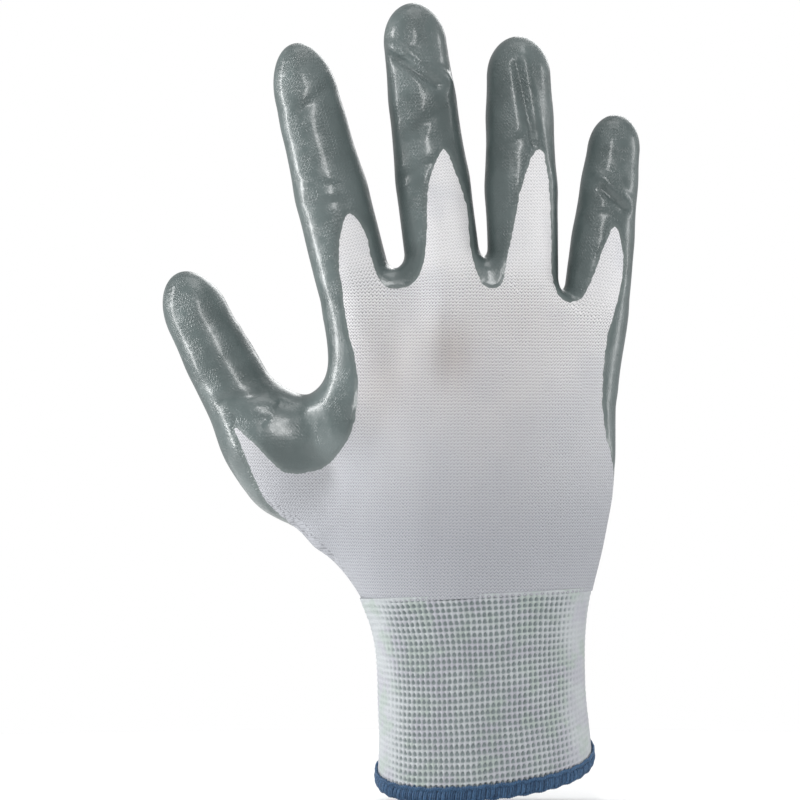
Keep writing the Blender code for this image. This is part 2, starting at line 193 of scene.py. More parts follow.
@dataclass
class Stall:
    """A finger of the glove, placed by the frame's own hinges."""

    name: str
    hinges: tuple[str, ...]
    first_fold: float  # how far its first hinge is from its root, mm
    lean: float
    reach: float
    turn: float
    length: float
    girth: tuple[tuple[float, float], ...]
    dome: float
    depth: float
    curl: float
    foot: float
    creases: tuple[Crease, ...] = ()
    axis: Array = field(init=False)
    palmar: Array = field(init=False)
    across: Array = field(init=False)
    root: Array = field(init=False)

    def __post_init__(self) -> None:
        """Set the stall's own directions, and its root from the frame's first hinge."""
        lean, turn = math.radians(self.lean), math.radians(self.turn)
        axis = np.array([-math.sin(lean), self.reach, math.cos(lean)])
        self.axis = axis / np.linalg.norm(axis)
        flat_side = np.cross([0.0, 1.0, 0.0], self.axis)
        flat_side /= np.linalg.norm(flat_side)
        flat_front = np.cross(self.axis, flat_side)
        self.palmar = flat_front * math.cos(turn) + flat_side * math.sin(turn)
        self.across = np.cross(self.palmar, self.axis)
        first = next(j for j in frame["joints"] if j["name"] == self.hinges[0])
        place = self.first_fold * MM
        self.root = (np.array(first["pos_m"]) - self.axis * place
                     - self.palmar * self.bow(np.array([place])))

    def bow(self, s: Array) -> Array:
        """How far the stall bends to the palm side at s along it."""
        return self.curl * MM * (np.maximum(s, 0.0) / (self.length * MM)) ** 2

    def local(self, points: Array) -> tuple[Array, Array, Array]:
        """Places along, across and through the stall, from its own middle line.

        Args:
            points: places in metres.

        Returns:
            The distance along it, across it, and towards its palm side.
        """
        reach = points - self.root
        along = reach @ self.axis
        return along, reach @ self.across, reach @ self.palmar - self.bow(along)

    def half_width(self, along: Array) -> Array:
        """Half the stall's width, with the wearer's knuckles showing through."""
        places = tuple(p * MM for p, _ in self.girth)
        half = rounded_row(places, tuple(w * MM for _, w in self.girth), along)
        for hinge in self.hinges[1:]:
            knuckle = self.place_of(hinge)
            half = half + KNUCKLE_SWELL * np.exp(-((along - knuckle) / KNUCKLE_REACH) ** 2)
        return half

    def place_of(self, hinge: str) -> float:
        """How far along the stall one of the frame's hinges is."""
        joint = next(j for j in frame["joints"] if j["name"] == hinge)
        return float((np.array(joint["pos_m"]) - self.root) @ self.axis)

    def distance(self, points: Array) -> Array:
        """The signed distance from the stall's skin.

        Args:
            points: places in metres.

        Returns:
            Metres, negative inside.
        """
        along, wide, deep = self.local(points)
        start = (self.length - self.dome) * MM
        foot = self.foot * MM
        half = self.half_width(np.clip(along, foot, start))
        pads = 1.0 + PAD_SWELL * np.cos(along * TURN / PAD_PITCH)
        thick = half * self.depth * np.where(deep > 0, pads, BACK_FLATNESS)
        past = np.maximum(along - start, 0.0) / (self.dome * MM)
        short = np.maximum(foot - along, 0.0) / half
        end = past + short
        end_size = np.where(past > 0, self.dome * MM, half)
        size = np.sqrt((wide / half) ** 2 + (deep / thick) ** 2 + end ** 2)
        slope = np.sqrt((wide / half ** 2) ** 2 + (deep / thick ** 2) ** 2
                        + (end / end_size) ** 2)
        return size * (size - 1.0) / np.maximum(slope, 1e-6)

    def relief(self, points: Array) -> Array:
        """How far the creases move the skin, outwards being positive.

        Args:
            points: places in metres.

        Returns:
            Metres for each point.
        """
        along, wide, deep = self.local(points)
        moved = np.zeros(len(points))
        for crease in self.creases:
            near, offset = distance_to_run(along, wide, crease)
            outer = deep if crease.side is Side.PALM else -deep
            facing = smooth(0.8 * MM, 5.0 * MM, outer)
            width = crease.width * MM
            furrow = -np.exp(-(near / width) ** 2)
            beside = np.exp(-((offset - RIDGE_AWAY * width) / (RIDGE_WIDTH * width)) ** 2)
            past = np.maximum(near - RIDGE_RUN * width, 0)
            beside = beside * np.exp(-(past / (RIDGE_FADE * width)) ** 2)
            moved += crease.depth * MM * facing * (furrow + crease.ridge * beside)
        return moved


def distance_to_run(along: Array, wide: Array, crease: Crease) -> tuple[Array, Array]:
    """Distances from a crease's line on the unrolled face.

    Args:
        along: places along the stall.
        wide: places across it.
        crease: the crease, whose ends are in mm.

    Returns:
        The distance from the run between its ends, and the signed offset from its whole line.
    """
    start = np.array(crease.start) * MM
    way = np.array(crease.end) * MM - start
    length = float(np.hypot(*way))
    way = way / length
    a, w = along - start[0], wide - start[1]
    t = np.clip(a * way[0] + w * way[1], 0.0, length)
    near = np.hypot(a - t * way[0], w - t * way[1])
    return near, a * way[1] - w * way[0]


@dataclass(frozen=True)
class HandForm:
    """The hand and the wrist: girths by height, in mm, and how they close between the stalls."""

    stations: tuple[tuple[float, float, float, float, float], ...] = (
        (-6, -32.6, 34.0, -22.0, 22.0),
        (4, -32.1, 33.9, -21.8, 21.8),
        (12, -31.9, 32.9, -21.4, 21.4),
        (20, -31.9, 32.0, -21.0, 21.0),
        (30, -32.1, 31.6, -20.7, 20.8),
        (40, -32.8, 31.8, -20.4, 21.2),
        (48, -34.6, 32.7, -19.9, 22.6),
        (55, -37.6, 33.9, -19.2, 24.0),
        (62, -40.0, 35.7, -18.4, 24.6),
        (70, -41.5, 37.6, -17.6, 24.2),
        (84, -43.5, 40.4, -16.4, 22.0),
        (97, -45.2, 41.0, -15.6, 19.0),
        (110, -46.5, 40.9, -15.0, 16.8),
        (122, -47.1, 41.2, -14.4, 15.3),
        (132, -47.2, 41.8, -13.6, 14.0),
        (143, -47.6, 42.6, -12.2, 12.6),
        (152, -47.0, 41.0, -10.2, 10.6),
        (162, -46.0, 40.0, -8.4, 8.8),
    )
    middle_y: float = 1.0
    squareness: float = 2.3
    crown: float = 157.5
    arch_x: float = -8.0
    arch_width: float = 30.0
    arch_drop: float = 9.5
    slope_x: float = 0.10
    level_in_x: float = 110.0
    slope_y: float = 0.34
    level_in_y: float = 50.0
    top_fillet: float = 5 * MM
    widest_arch: float = 1.6

    def girth(self, height: Array) -> tuple[Array, Array, Array, Array]:
        """The four reaches of the hand at a height, all in metres: left, right, back, palm."""
        rows = list(zip(*self.stations))
        heights = tuple(h * MM for h in rows[0])
        return tuple(rounded_row(heights, tuple(v * MM for v in rows[k]), height)
                     for k in range(1, 5))

    def distance(self, points: Array) -> Array:
        """The signed distance from the hand's skin.

        Args:
            points: places in metres.

        Returns:
            Metres, negative inside.
        """
        x, y, z = points.T
        left, right, back, palm = self.girth(z)
        half = (right - left) / 2
        across = (x - (left + right) / 2) / half
        middle = self.middle_y * MM
        thick = np.where(y > middle, palm - middle, middle - back)
        through = (y - middle) / thick
        power = self.squareness
        size = (np.abs(across) ** power + np.abs(through) ** power + TINY) ** (1 / power)
        slope = size ** (1 - power) * np.sqrt(
            (np.abs(across) ** (power - 1) / half) ** 2
            + (np.abs(through) ** (power - 1) / thick) ** 2)
        wall = (size - 1.0) / np.maximum(slope, 1.0)
        arch = ((x / MM - self.arch_x) / self.arch_width) ** 2
        top = (self.crown - self.arch_drop * np.minimum(arch, self.widest_arch)) * MM
        return -melt(-wall, -(z - top), self.top_fillet)

    def ring(self, height: Array, turn: Array, inset: float) -> Array:
        """Points on the wrist's skin, with the slope of the opening.

        Args:
            height: height along the wrist, in metres.
            turn: angle round it in radians, 0 at the little finger's side, rising to the palm.
            inset: depth under the skin in metres.

        Returns:
            One point for each height and turn.
        """
        left, right, back, palm = self.girth(height)
        left, right, back, palm = left + inset, right - inset, back + inset, palm - inset
        power = 2 / self.squareness
        c, s = np.cos(turn), np.sin(turn)
        middle = self.middle_y * MM
        x = (left + right) / 2 + (right - left) / 2 * np.sign(c) * np.abs(c) ** power
        reach = np.where(s > 0, palm - middle, middle - back)
        y = middle + reach * np.sign(s) * np.abs(s) ** power
        lean_x = self.slope_x * np.clip(1 - height / (self.level_in_x * MM), 0, None)
        lean_y = self.slope_y * np.clip(1 - height / (self.level_in_y * MM), 0, None)
        return np.stack([x, y, height + lean_x * x + lean_y * y], axis=-1)


@dataclass(frozen=True)
class ThumbBall:
    """The ball of the thumb and the web beside it, as a chain of swelling spans."""

    beads: tuple[tuple[float, float, float, float], ...] = (
        (-28.0, 6.5, 66.0, 11.5),
        (-43.0, 8.8, 78.5, 13.2),
        (-57.0, 10.8, 93.5, 12.6),
        (-64.5, 11.2, 102.0, 12.2),
    )
    web: tuple[tuple[float, float, float, float], ...] = (
        (-62.0, 10.0, 102.0, 10.0),
        (-42.0, 3.0, 106.5, 12.0),
    )
    web_fillet: float = 8 * MM

    def distance(self, points: Array) -> Array:
        """The signed distance from the ball of the thumb, in metres."""
        ball = chain_distance(points, self.beads)
        return melt(ball, chain_distance(points, self.web), self.web_fillet)


def chain_distance(points: Array, beads: tuple[tuple[float, float, float, float], ...]) -> Array:
    """The signed distance from a chain of round spans.

    Args:
        points: places in metres.
        beads: the chain's centres and radii, in mm.

    Returns:
        Metres, negative inside.
    """
    best = np.full(len(points), np.inf)
    for low, high in zip(beads, beads[1:]):
        start, end = np.array(low[:3]) * MM, np.array(high[:3]) * MM
        way = end - start
        t = np.clip((points - start) @ way / (way @ way), 0.0, 1.0)
        radius = (low[3] + t * (high[3] - low[3])) * MM
        reach = np.linalg.norm(points - start - t[:, None] * way, axis=1)
        best = np.minimum(best, reach - radius)
    return best


@dataclass(frozen=True)
class Swelling:
    """A soft rise or hollow on one face of the hand, in mm."""

    x: float
    z: float
    size_x: float
    size_z: float
    rise: float
    side: Side


STALLS = (
    Stall("index", ("index_root_fold", "index_middle_fold", "index_tip_fold"), 9.5,
          14.2, 0.0, 0.0, 76.2,
          ((-25, 8.5), (-8, 11.0), (0, 11.5), (17, 11.5), (28, 11.2), (43, 10.4), (58, 9.7)),
          17.5, 0.88, 6.0, -22.0,
          (Crease((34, -9), (30, 2), 0.35, 1.5), Crease((27, -8), (25, 4), 0.3, 1.4),
           Crease((55, -2), (60, 6), 0.3, 1.6),
           palm_fold(29, 9, 0.9, 1.4), palm_fold(52, 8, 0.7, 1.2),
           Crease((8, -9), (9, 9), 0.8, 1.6, PALM_RIDGE, Side.PALM))),
    Stall("middle", ("middle_root_fold", "middle_middle_fold", "middle_tip_fold"), 11.5,
          7.2, 0.0, 0.0, 86.4,
          ((-25, 8.5), (-8, 11.0), (0, 11.4), (15, 11.5), (26, 11.4), (41, 10.8), (56, 10.3),
           (73, 9.6)),
          13.0, 0.88, 7.0, -22.0,
          (Crease((69, -5.5), (60, 5.0), 1.25, 1.6, 0.9),
           Crease((46, -4), (52, 5), 0.45, 2.0), Crease((33, -9), (36, -1), 0.4, 1.6),
           palm_fold(31, 9, 0.9, 1.4), palm_fold(57, 8, 0.7, 1.2),
           palm_fold(9, 9, 0.8, 1.6))),
    Stall("ring", ("ring_root_fold", "ring_middle_fold", "ring_tip_fold"), 10.5,
          1.2, 0.0, 0.0, 76.2,
          ((-25, 8.2), (-8, 10.5), (0, 10.8), (16, 10.9), (27, 11.1), (42, 10.6), (56, 10.1),
           (64, 9.7)),
          13.0, 0.88, 7.0, -22.0,
          (Crease((67, -0.6), (42, 3.8), 1.0, 1.5, 0.5),
           Crease((40, -7), (44, 0), 0.35, 1.6),
           palm_fold(29, 9, 0.9, 1.4), palm_fold(52, 8, 0.7, 1.2),
           palm_fold(9, 9, 0.8, 1.6))),
    Stall("little", ("little_root_fold", "little_middle_fold", "little_tip_fold"), 9.5,
          -6.8, 0.0, 0.0, 62.4,
          ((-25, 7.6), (-8, 9.8), (0, 10.2), (15, 10.0), (26, 9.4), (37, 8.9), (50, 8.0)),
          11.5, 0.88, 6.0, -20.0,
          (Crease((39, -2.5), (33.5, 5.0), 1.0, 1.4, 0.8),
           Crease((29, -6), (32, 1), 0.35, 1.5),
           palm_fold(24, 8, 0.8, 1.3), palm_fold(42, 7, 0.6, 1.1),
           palm_fold(8, 8, 0.7, 1.5))),
)
THUMB = Stall("thumb", ("thumb_root_fold", "thumb_tip_fold"), 8.0,
              29.7, 0.05, 35.0, 54.0,
              ((-22, 11.5), (-13, 12.4), (0, 12.3), (8, 11.9), (24, 10.9), (38, 10.1)),
              16.0, 0.94, 3.0, -16.0,
              (Crease((26, -6), (27, 7), 0.55, 1.5, PALM_RIDGE, Side.PALM),
               Crease((5, 3), (0, 11), 0.6, 1.8), Crease((12, 2), (8, 10), 0.4, 1.6)))

SWELLINGS = (
    Swelling(-38, 139, 6.5, 8, 1.0, Side.BACK),
    Swelling(-12, 141, 6.5, 8, 1.2, Side.BACK),
    Swelling(12.5, 140, 6.5, 8, 1.0, Side.BACK),
    Swelling(33, 131, 6.0, 8, 0.8, Side.BACK),
    Swelling(-11, 129, 2.2, 9, -0.9, Side.BACK),
    Swelling(-26, 128, 4.0, 10, -0.5, Side.BACK),
    Swelling(2, 88, 14, 20, -2.6, Side.PALM),
    Swelling(27, 78, 11, 20, 2.2, Side.PALM),
    Swelling(-37, 136, 8, 6, 1.1, Side.PALM),
    Swelling(-12, 138, 8, 6, 1.3, Side.PALM),
    Swelling(12, 137, 8, 6, 1.3, Side.PALM),
    Swelling(33, 127, 7, 7, 1.1, Side.PALM),
)


# ------------------------------------------------------------------------------ meshing

CUT_GAP = 1e-7  # a cut passes no nearer to a point than this
SMALLEST_FACE = 1e-13  # twice the area below which a face is dropped
SMALLEST_CRUMB = 60  # faces, and the share of all the faces, that a loose bit needs to stay
SMALLEST_SHARE = 0.004


@dataclass
class Skin:
    """A triangle or quad mesh held as arrays, with one row of values for each named attribute."""

    points: Array
    faces: Array
    normals: Array
    values: dict[str, Array]

    def triangles(self) -> "Skin":
        """The same skin with its quads split along the shorter diagonal.

        Returns:
            A skin of triangles.
        """
        a, b, c, d = self.faces.T
        first = np.linalg.norm(self.points[a] - self.points[c], axis=1)
        second = np.linalg.norm(self.points[b] - self.points[d], axis=1)
        use = first <= second
        one = np.where(use[:, None], np.stack([a, b, c], 1), np.stack([a, b, d], 1))
        two = np.where(use[:, None], np.stack([a, c, d], 1), np.stack([b, c, d], 1))
        return Skin(self.points, np.concatenate([one, two]), self.normals, self.values)

    def clip(self, level: Array) -> "Skin":
        """Cut the skin where a value is zero and keep the part where it is above zero.

        Args:
            level: one value for each point.

        Returns:
            That part.
        """
        level = np.where(np.abs(level) < CUT_GAP, CUT_GAP, level)
        up = level[self.faces] > 0
        count = up.sum(axis=1)
        crossing = self.faces[(count > 0) & (count < 3)]
        edges = np.concatenate([crossing[:, [0, 1]], crossing[:, [1, 2]], crossing[:, [2, 0]]])
        edges = edges[(level[edges[:, 0]] > 0) != (level[edges[:, 1]] > 0)]
        keys = np.unique(np.sort(edges, axis=1), axis=0)
        size = len(self.points)
        code = keys[:, 0].astype(np.int64) * size + keys[:, 1]
        share = level[keys[:, 0]] / (level[keys[:, 0]] - level[keys[:, 1]])
        whole = self.extended(keys[:, 0], keys[:, 1], share)

        def middle(a: Array, b: Array) -> Array:
            """The new point on the edge from a to b."""
            low, high = np.minimum(a, b), np.maximum(a, b)
            return size + np.searchsorted(code, low.astype(np.int64) * size + high)

        kept = [self.faces[count == 3]]
        for lone, want in ((True, 1), (False, 2)):
            rows, flags = self.faces[count == want], up[count == want]
            if not len(rows):
                continue
            corner = np.argmax(flags == lone, axis=1)
            a, b, c = (rows[np.arange(len(rows)), (corner + k) % 3] for k in range(3))
            ab, ac = middle(a, b), middle(a, c)
            if lone:
                kept.append(np.stack([a, ab, ac], 1))
            else:
                kept += [np.stack([ab, b, c], 1), np.stack([ab, c, ac], 1)]
        return whole.only(np.concatenate(kept))

    def extended(self, low: Array, high: Array, share: Array) -> "Skin":
        """The skin with a new point between each pair of points.

        Args:
            low: the first point of each pair.
            high: the second.
            share: how far from the first each new point lies.

        Returns:
            A skin with the new points after its own.
        """
        def mix(rows: Array) -> Array:
            """The rows with the new points' rows after them."""
            t = share if rows.ndim == 1 else share[:, None]
            return np.concatenate([rows, rows[low] * (1 - t) + rows[high] * t])
        return Skin(mix(self.points), self.faces, mix(self.normals),
                    {name: mix(rows) for name, rows in self.values.items()})

    def only(self, faces: Array) -> "Skin":
        """The skin of those faces alone, with no unused points.

        Args:
            faces: the faces to keep.

        Returns:
            The smaller skin.
        """
        used, renumbered = np.unique(faces, return_inverse=True)
        faces = renumbered.reshape(faces.shape)
        area = np.cross(self.points[used][faces[:, 1]] - self.points[used][faces[:, 0]],
                        self.points[used][faces[:, 2]] - self.points[used][faces[:, 0]])
        faces = faces[np.linalg.norm(area, axis=1) > SMALLEST_FACE]
        return Skin(self.points[used], faces, self.normals[used],
                    {name: rows[used] for name, rows in self.values.items()})

    def main_body(self) -> "Skin":
        """The skin without the crumbs that a cut can leave.

        Returns:
            The skin's large connected parts.
        """
        label = np.arange(len(self.points))
        edges = np.concatenate([self.faces[:, [0, 1]], self.faces[:, [1, 2]]])
        while True:
            low = np.minimum(label[edges[:, 0]], label[edges[:, 1]])
            np.minimum.at(label, edges[:, 0], low)
            np.minimum.at(label, edges[:, 1], low)
            label = label[label]
            if np.array_equal(label[edges[:, 0]], label[edges[:, 1]]):
                break
        names, counts = np.unique(label[self.faces[:, 0]], return_counts=True)
        large = names[counts >= max(SMALLEST_CRUMB, SMALLEST_SHARE * len(self.faces))]
        return self.only(self.faces[np.isin(label[self.faces[:, 0]], large)])

    def rim(self) -> Array:
        """The directed edges that only one face uses.

        Returns:
            A row of two point numbers for each.
        """
        edges = np.concatenate([self.faces[:, [0, 1]], self.faces[:, [1, 2]],
                                self.faces[:, [2, 0]]]).astype(np.int64)
        size = len(self.points)
        forward = edges[:, 0] * size + edges[:, 1]
        backward = edges[:, 1] * size + edges[:, 0]
        return edges[~np.isin(forward, backward)]

    def walled(self, lift: Array, depth: Array) -> "Skin":
        """A closed body: the skin lifted, its copy sunk below it, and a wall round each rim.

        Args:
            lift: how far each point of the outer side moves out.
            depth: how far below the skin the inner side lies.

        Returns:
            The closed body.
        """
        size = len(self.points)
        outer = self.points + self.normals * lift[:, None]
        inner = self.points - self.normals * depth[:, None]
        rim = self.rim()
        a, b = rim.T
        walls = np.concatenate([np.stack([a, a + size, b + size], 1),
                                np.stack([a, b + size, b], 1)])
        faces = np.concatenate([self.faces, self.faces[:, ::-1] + size, walls])
        return Skin(np.concatenate([outer, inner]), faces,
                    np.concatenate([self.normals, -self.normals]),
                    {name: np.concatenate([rows, rows]) for name, rows in self.values.items()})


@dataclass(frozen=True)
class Grid:
    """A lattice of cells that a form is meshed in, in metres."""

    low: tuple[float, float, float]
    high: tuple[float, float, float]
    cell: float

    def sample(self, form: "GloveForm") -> tuple[Array, tuple[int, int, int]]:
        """Read the form at each corner of the lattice.

        Args:
            form: the form to read.

        Returns:
            Its distances, and the lattice's shape.
        """
        axes = [np.arange(a, b, self.cell) for a, b in zip(self.low, self.high)]
        shape = tuple(len(axis) for axis in axes)
        points = np.stack(np.meshgrid(*axes, indexing="ij"), axis=-1).reshape(-1, 3)
        parts = [form.distance(chunk) for chunk in np.array_split(points, 24)]
        return np.concatenate(parts).reshape(shape), shape

    def mesh(self, form: "GloveForm") -> tuple[Array, Array]:
        """Mesh the form's zero surface, with one point in each cell that it crosses.

        Args:
            form: the form to mesh.

        Returns:
            The points and the quads.
        """
        field_, shape = self.sample(form)
        inside = field_ < 0
        corners = [(i, j, k) for i in (0, 1) for j in (0, 1) for k in (0, 1)]
        cells = tuple(n - 1 for n in shape)

        def shifted(grid: Array, corner: tuple[int, int, int]) -> Array:
            """The grid's values at one corner of every cell."""
            return grid[tuple(slice(c, c + n) for c, n in zip(corner, cells))]

        full = sum(shifted(inside, c).astype(np.int8) for c in corners)
        active = (full > 0) & (full < 8)
        index = np.full(cells, -1, dtype=np.int64)
        index[active] = np.arange(int(active.sum()))
        where = np.argwhere(active)
        total = np.zeros((len(where), 3))
        weight = np.zeros(len(where))
        values = {c: shifted(field_, c)[active] for c in corners}
        for c in corners:
            for axis in range(3):
                if c[axis]:
                    continue
                other = tuple(1 if k == axis else c[k] for k in range(3))
                a, b = values[c], values[other]
                cut = (a < 0) != (b < 0)
                share = np.where(cut, a / np.where(cut, a - b, 1.0), 0.0)
                place = np.tile(np.array(c, float), (len(where), 1))
                place[:, axis] = share
                total += np.where(cut[:, None], place, 0.0)
                weight += cut
        points = (where + total / weight[:, None]) * self.cell + np.array(self.low)
        quads = []
        for axis in range(3):
            step = [0, 0, 0]
            step[axis] = 1
            ahead = tuple(slice(step[k], shape[k]) for k in range(3))
            behind = tuple(slice(0, shape[k] - step[k]) for k in range(3))
            flips = inside[behind] != inside[ahead]
            at = np.argwhere(flips)
            u, v = (axis + 1) % 3, (axis + 2) % 3
            at = at[(at[:, u] > 0) & (at[:, v] > 0)
                    & (at[:, u] < cells[u]) & (at[:, v] < cells[v])]
            ring = []
            for du, dv in ((-1, -1), (0, -1), (0, 0), (-1, 0)):
                cell = at.copy()
                cell[:, u] += du
                cell[:, v] += dv
                ring.append(index[tuple(cell.T)])
            rows = np.stack(ring, axis=1)
            outward = inside[tuple(at.T)]
            rows[~outward] = rows[~outward][:, ::-1]
            quads.append(rows)
        return points, np.concatenate(quads)


def relax(points: Array, quads: Array, form: "GloveForm", rounds: int) -> Array:
    """Even the points out along the surface and put them back on it.

    Args:
        points: the mesh's points.
        quads: its quads.
        form: the form that the surface belongs to.
        rounds: how many times.

    Returns:
        The moved points.
    """
    for _ in range(rounds):
        centre = points[quads].mean(axis=1)
        total = np.zeros_like(points)
        count = np.zeros(len(points))
        for k in range(4):
            np.add.at(total, quads[:, k], centre)
            np.add.at(count, quads[:, k], 1)
        points = total / count[:, None]
        for _ in range(2):
            points = points - form.distance(points)[:, None] * form.normal(points)
    return points


# ------------------------------------------------------------------------------ the glove's skin


@dataclass
class GloveForm:
    """The whole skin of the glove's hand and stalls as one field of distances."""

    fingers: tuple[Stall, ...]
    thumb: Stall
    hand: HandForm
    ball: ThumbBall
    swellings: tuple[Swelling, ...]
    web_width: float = 4.5 * MM
    between_stalls: float = 1.5 * MM
    thumb_web_width: float = 9 * MM
    skin: float = 0.35 * MM  # the knit's outside under the film's outside
    drawn_out: tuple[float, float, float] = (1.0, 1.0, 0.5)  # slack runs up the hand
    slack: tuple[tuple[float, float, float], ...] = (  # rise and size in mm, and a seed
        (0.20, 11, 3.1), (0.05, 4.6, 8.7))

    def distance(self, points: Array) -> Array:
        """The signed distance from the knit's outside.

        Args:
            points: places in metres.

        Returns:
            Metres, negative inside.
        """
        hand = self.hand.distance(points)
        hand = melt(hand, self.ball.distance(points), self.thumb_web_width)
        hand = melt(hand, self.thumb.distance(points), self.thumb_web_width)
        stalls = self.fingers[0].distance(points)
        for stall in self.fingers[1:]:
            stalls = melt(stalls, stall.distance(points), self.between_stalls)
        return melt(hand, stalls, self.web_width) + self.skin

    def normal(self, points: Array, step: float = 0.05 * MM) -> Array:
        """The outward direction at each point.

        Args:
            points: places in metres.
            step: how far apart the form is read.

        Returns:
            A unit vector for each point.
        """
        slope = np.empty_like(points)
        for axis in range(3):
            shift = np.zeros(3)
            shift[axis] = step
            slope[:, axis] = self.distance(points + shift) - self.distance(points - shift)
        return slope / np.maximum(np.linalg.norm(slope, axis=1)[:, None], TINY)

    def relief(self, points: Array, normals: Array) -> Array:
        """How far creases, swellings and slack move the skin outwards.

        Args:
            points: places in metres.
            normals: the outward direction at each.

        Returns:
            Metres for each point.
        """
        moved = np.zeros(len(points))
        x, y, z = points.T
        for stall in (*self.fingers, self.thumb):
            near = stall.distance(points) < 2.5 * MM
            moved[near] += stall.relief(points[near])
        for swelling in self.swellings:
            facing = normals[:, 1] if swelling.side is Side.PALM else -normals[:, 1]
            size = (((x / MM - swelling.x) / swelling.size_x) ** 2
                    + ((z / MM - swelling.z) / swelling.size_z) ** 2)
            moved += swelling.rise * MM * np.exp(-size) * smooth(-0.1, 0.5, facing)
        for rise, size, seed in self.slack:
            moved += rise * MM * drift_noise(points * np.array(self.drawn_out), size * MM, seed)
        return moved


@dataclass
class DipLine:
    """Where the film ends: an outline on the back of the hand, and a level foot on the palm."""

    outline: tuple[tuple[float, float], ...] = (
        (60, 58), (60, 40), (-80, 40), (-80, 58), (-64, 66), (-56.2, 72.3), (-65.7, 82.4),
        (-69.1, 88.8), (-72.8, 98.0), (-75.8, 105.5), (-70.9, 101.9), (-62.7, 93.4),
        (-58.7, 91.5), (-52.9, 91.9), (-46.5, 94.6), (-40.0, 103.8), (-37.9, 114.8),
        (-38.5, 124.3), (-40.4, 134.0), (-42.8, 148.5), (-43.7, 160.0), (-41.0, 170.6),
        (-36.1, 165.8), (-33.8, 157.0), (-31.6, 151.0), (-29.2, 148.4), (-26.0, 147.7),
        (-22.2, 148.8), (-19.0, 152.4), (-17.2, 161.0), (-16.3, 179.6), (-11.9, 190.2),
        (-8.3, 183.3), (-4.9, 173.2), (-3.4, 158.8), (-0.6, 150.5), (1.4, 148.2),
        (4.4, 148.0), (6.4, 150.5), (7.9, 158.8), (12.5, 180.8), (16.8, 190.2),
        (19.6, 184.8), (20.9, 170.0), (21.1, 155.7), (22.4, 147.5), (25.8, 143.7),
        (29.0, 144.2), (31.2, 146.0), (34.2, 152.4), (37.0, 160.3), (40.4, 167.0),
        (42.8, 160.3), (42.8, 152.4), (41.3, 144.4), (38.5, 135.3), (37.0, 126.1),
        (36.7, 116.9), (37.3, 106.2), (39.7, 95.5), (40.6, 87.6), (41.2, 82.0),
        (40.6, 75.5), (39.6, 69.5), (39.0, 63.5))
    steps: int = 5
    palm_foot: float = 58.5 * MM
    reach: float = 6 * MM
    facing: tuple[float, float] = (0.02, 0.62)  # where the back's line gives way to the palm's
    ragged: tuple[tuple[float, float, float], ...] = (  # rise and size in mm, and a seed
        (0.34, 1.4, 5.5), (0.16, 5, 2.2))
    rows_at_once: int = 4000

    def curve(self) -> Array:
        """Round the outline's corners.

        Returns:
            A smooth closed line of points, in metres.
        """
        knots = np.array(self.outline, float) * MM
        before, after = np.roll(knots, 1, axis=0), np.roll(knots, -1, axis=0)
        beyond = np.roll(knots, -2, axis=0)
        rows = []
        for k in range(self.steps):
            t = k / self.steps
            rows.append(0.5 * (2 * knots + (after - before) * t
                               + (2 * before - 5 * knots + 4 * after - beyond) * t ** 2
                               + (3 * knots - before - 3 * after + beyond) * t ** 3))
        return np.stack(rows, axis=1).reshape(-1, 2)

    def on_back(self, flat: Array) -> Array:
        """The signed distance from the outline, negative on the bare knit.

        Args:
            flat: places as (x, z) in metres.

        Returns:
            Metres for each place.
        """
        start = self.curve()
        way = np.roll(start, -1, axis=0) - start
        length = np.maximum((way ** 2).sum(axis=1), TINY)
        rows = []
        for chunk in np.array_split(flat, max(1, len(flat) // self.rows_at_once)):
            reach = chunk[:, None, :] - start[None]
            t = np.clip((reach * way).sum(axis=2) / length, 0.0, 1.0)
            near = np.linalg.norm(reach - t[..., None] * way, axis=2).min(axis=1)
            z, z0, z1 = chunk[:, None, 1], start[:, 1], start[:, 1] + way[:, 1]
            spans = (z0 <= z) != (z1 <= z)
            rise = np.where(way[:, 1] == 0, TINY, way[:, 1])
            meets = start[:, 0] + (z - z0) / rise * way[:, 0]
            crossings = (spans & (meets > chunk[:, None, 0])).sum(axis=1)
            rows.append(np.where(crossings % 2 == 1, -near, near))
        return np.concatenate(rows)

    def depth_into_film(self, points: Array, normals: Array) -> Array:
        """How far each point is inside the film's edge.

        Args:
            points: places in metres.
            normals: the outward direction at each.

        Returns:
            Metres for each point, negative on bare knit.
        """
        back = np.clip(self.on_back(points[:, [0, 2]]), -self.reach, self.reach)
        palm = np.clip(points[:, 2] - self.palm_foot, -self.reach, self.reach)
        turned = smooth(*self.facing, normals[:, 1])
        depth = back * (1 - turned) + palm * turned
        for rise, size, seed in self.ragged:
            depth = depth + rise * MM * drift_noise(points, size * MM, seed)
        return depth


@dataclass(frozen=True)
class Cut:
    """Where a stall's skin is cut, and a stretch about each of its folds, in mm; the stretches
    are passed on but bend nothing.
    """

    base: float
    folds: tuple[tuple[float, float], ...]
    lengths: tuple[float, ...]


CUTS = {
    "index": Cut(5.4, ((5.5, 18.0), (20.0, 38.0), (43.5, 59.5)), (19.0, 41.0)),
    "middle": Cut(7.9, ((8.0, 21.0), (22.6, 40.5), (48.0, 66.0)), (21.8, 44.0)),
    "ring": Cut(8.6, ((8.7, 20.7), (21.6, 37.5), (43.5, 59.5)), (21.1, 40.5)),
    "little": Cut(8.9, ((9.0, 18.6), (19.4, 30.5), (35.5, 48.5)), (19.0, 33.0)),
    "thumb": Cut(-0.1, ((0.0, 16.0), (18.0, 35.0)), (17.0,)),
}


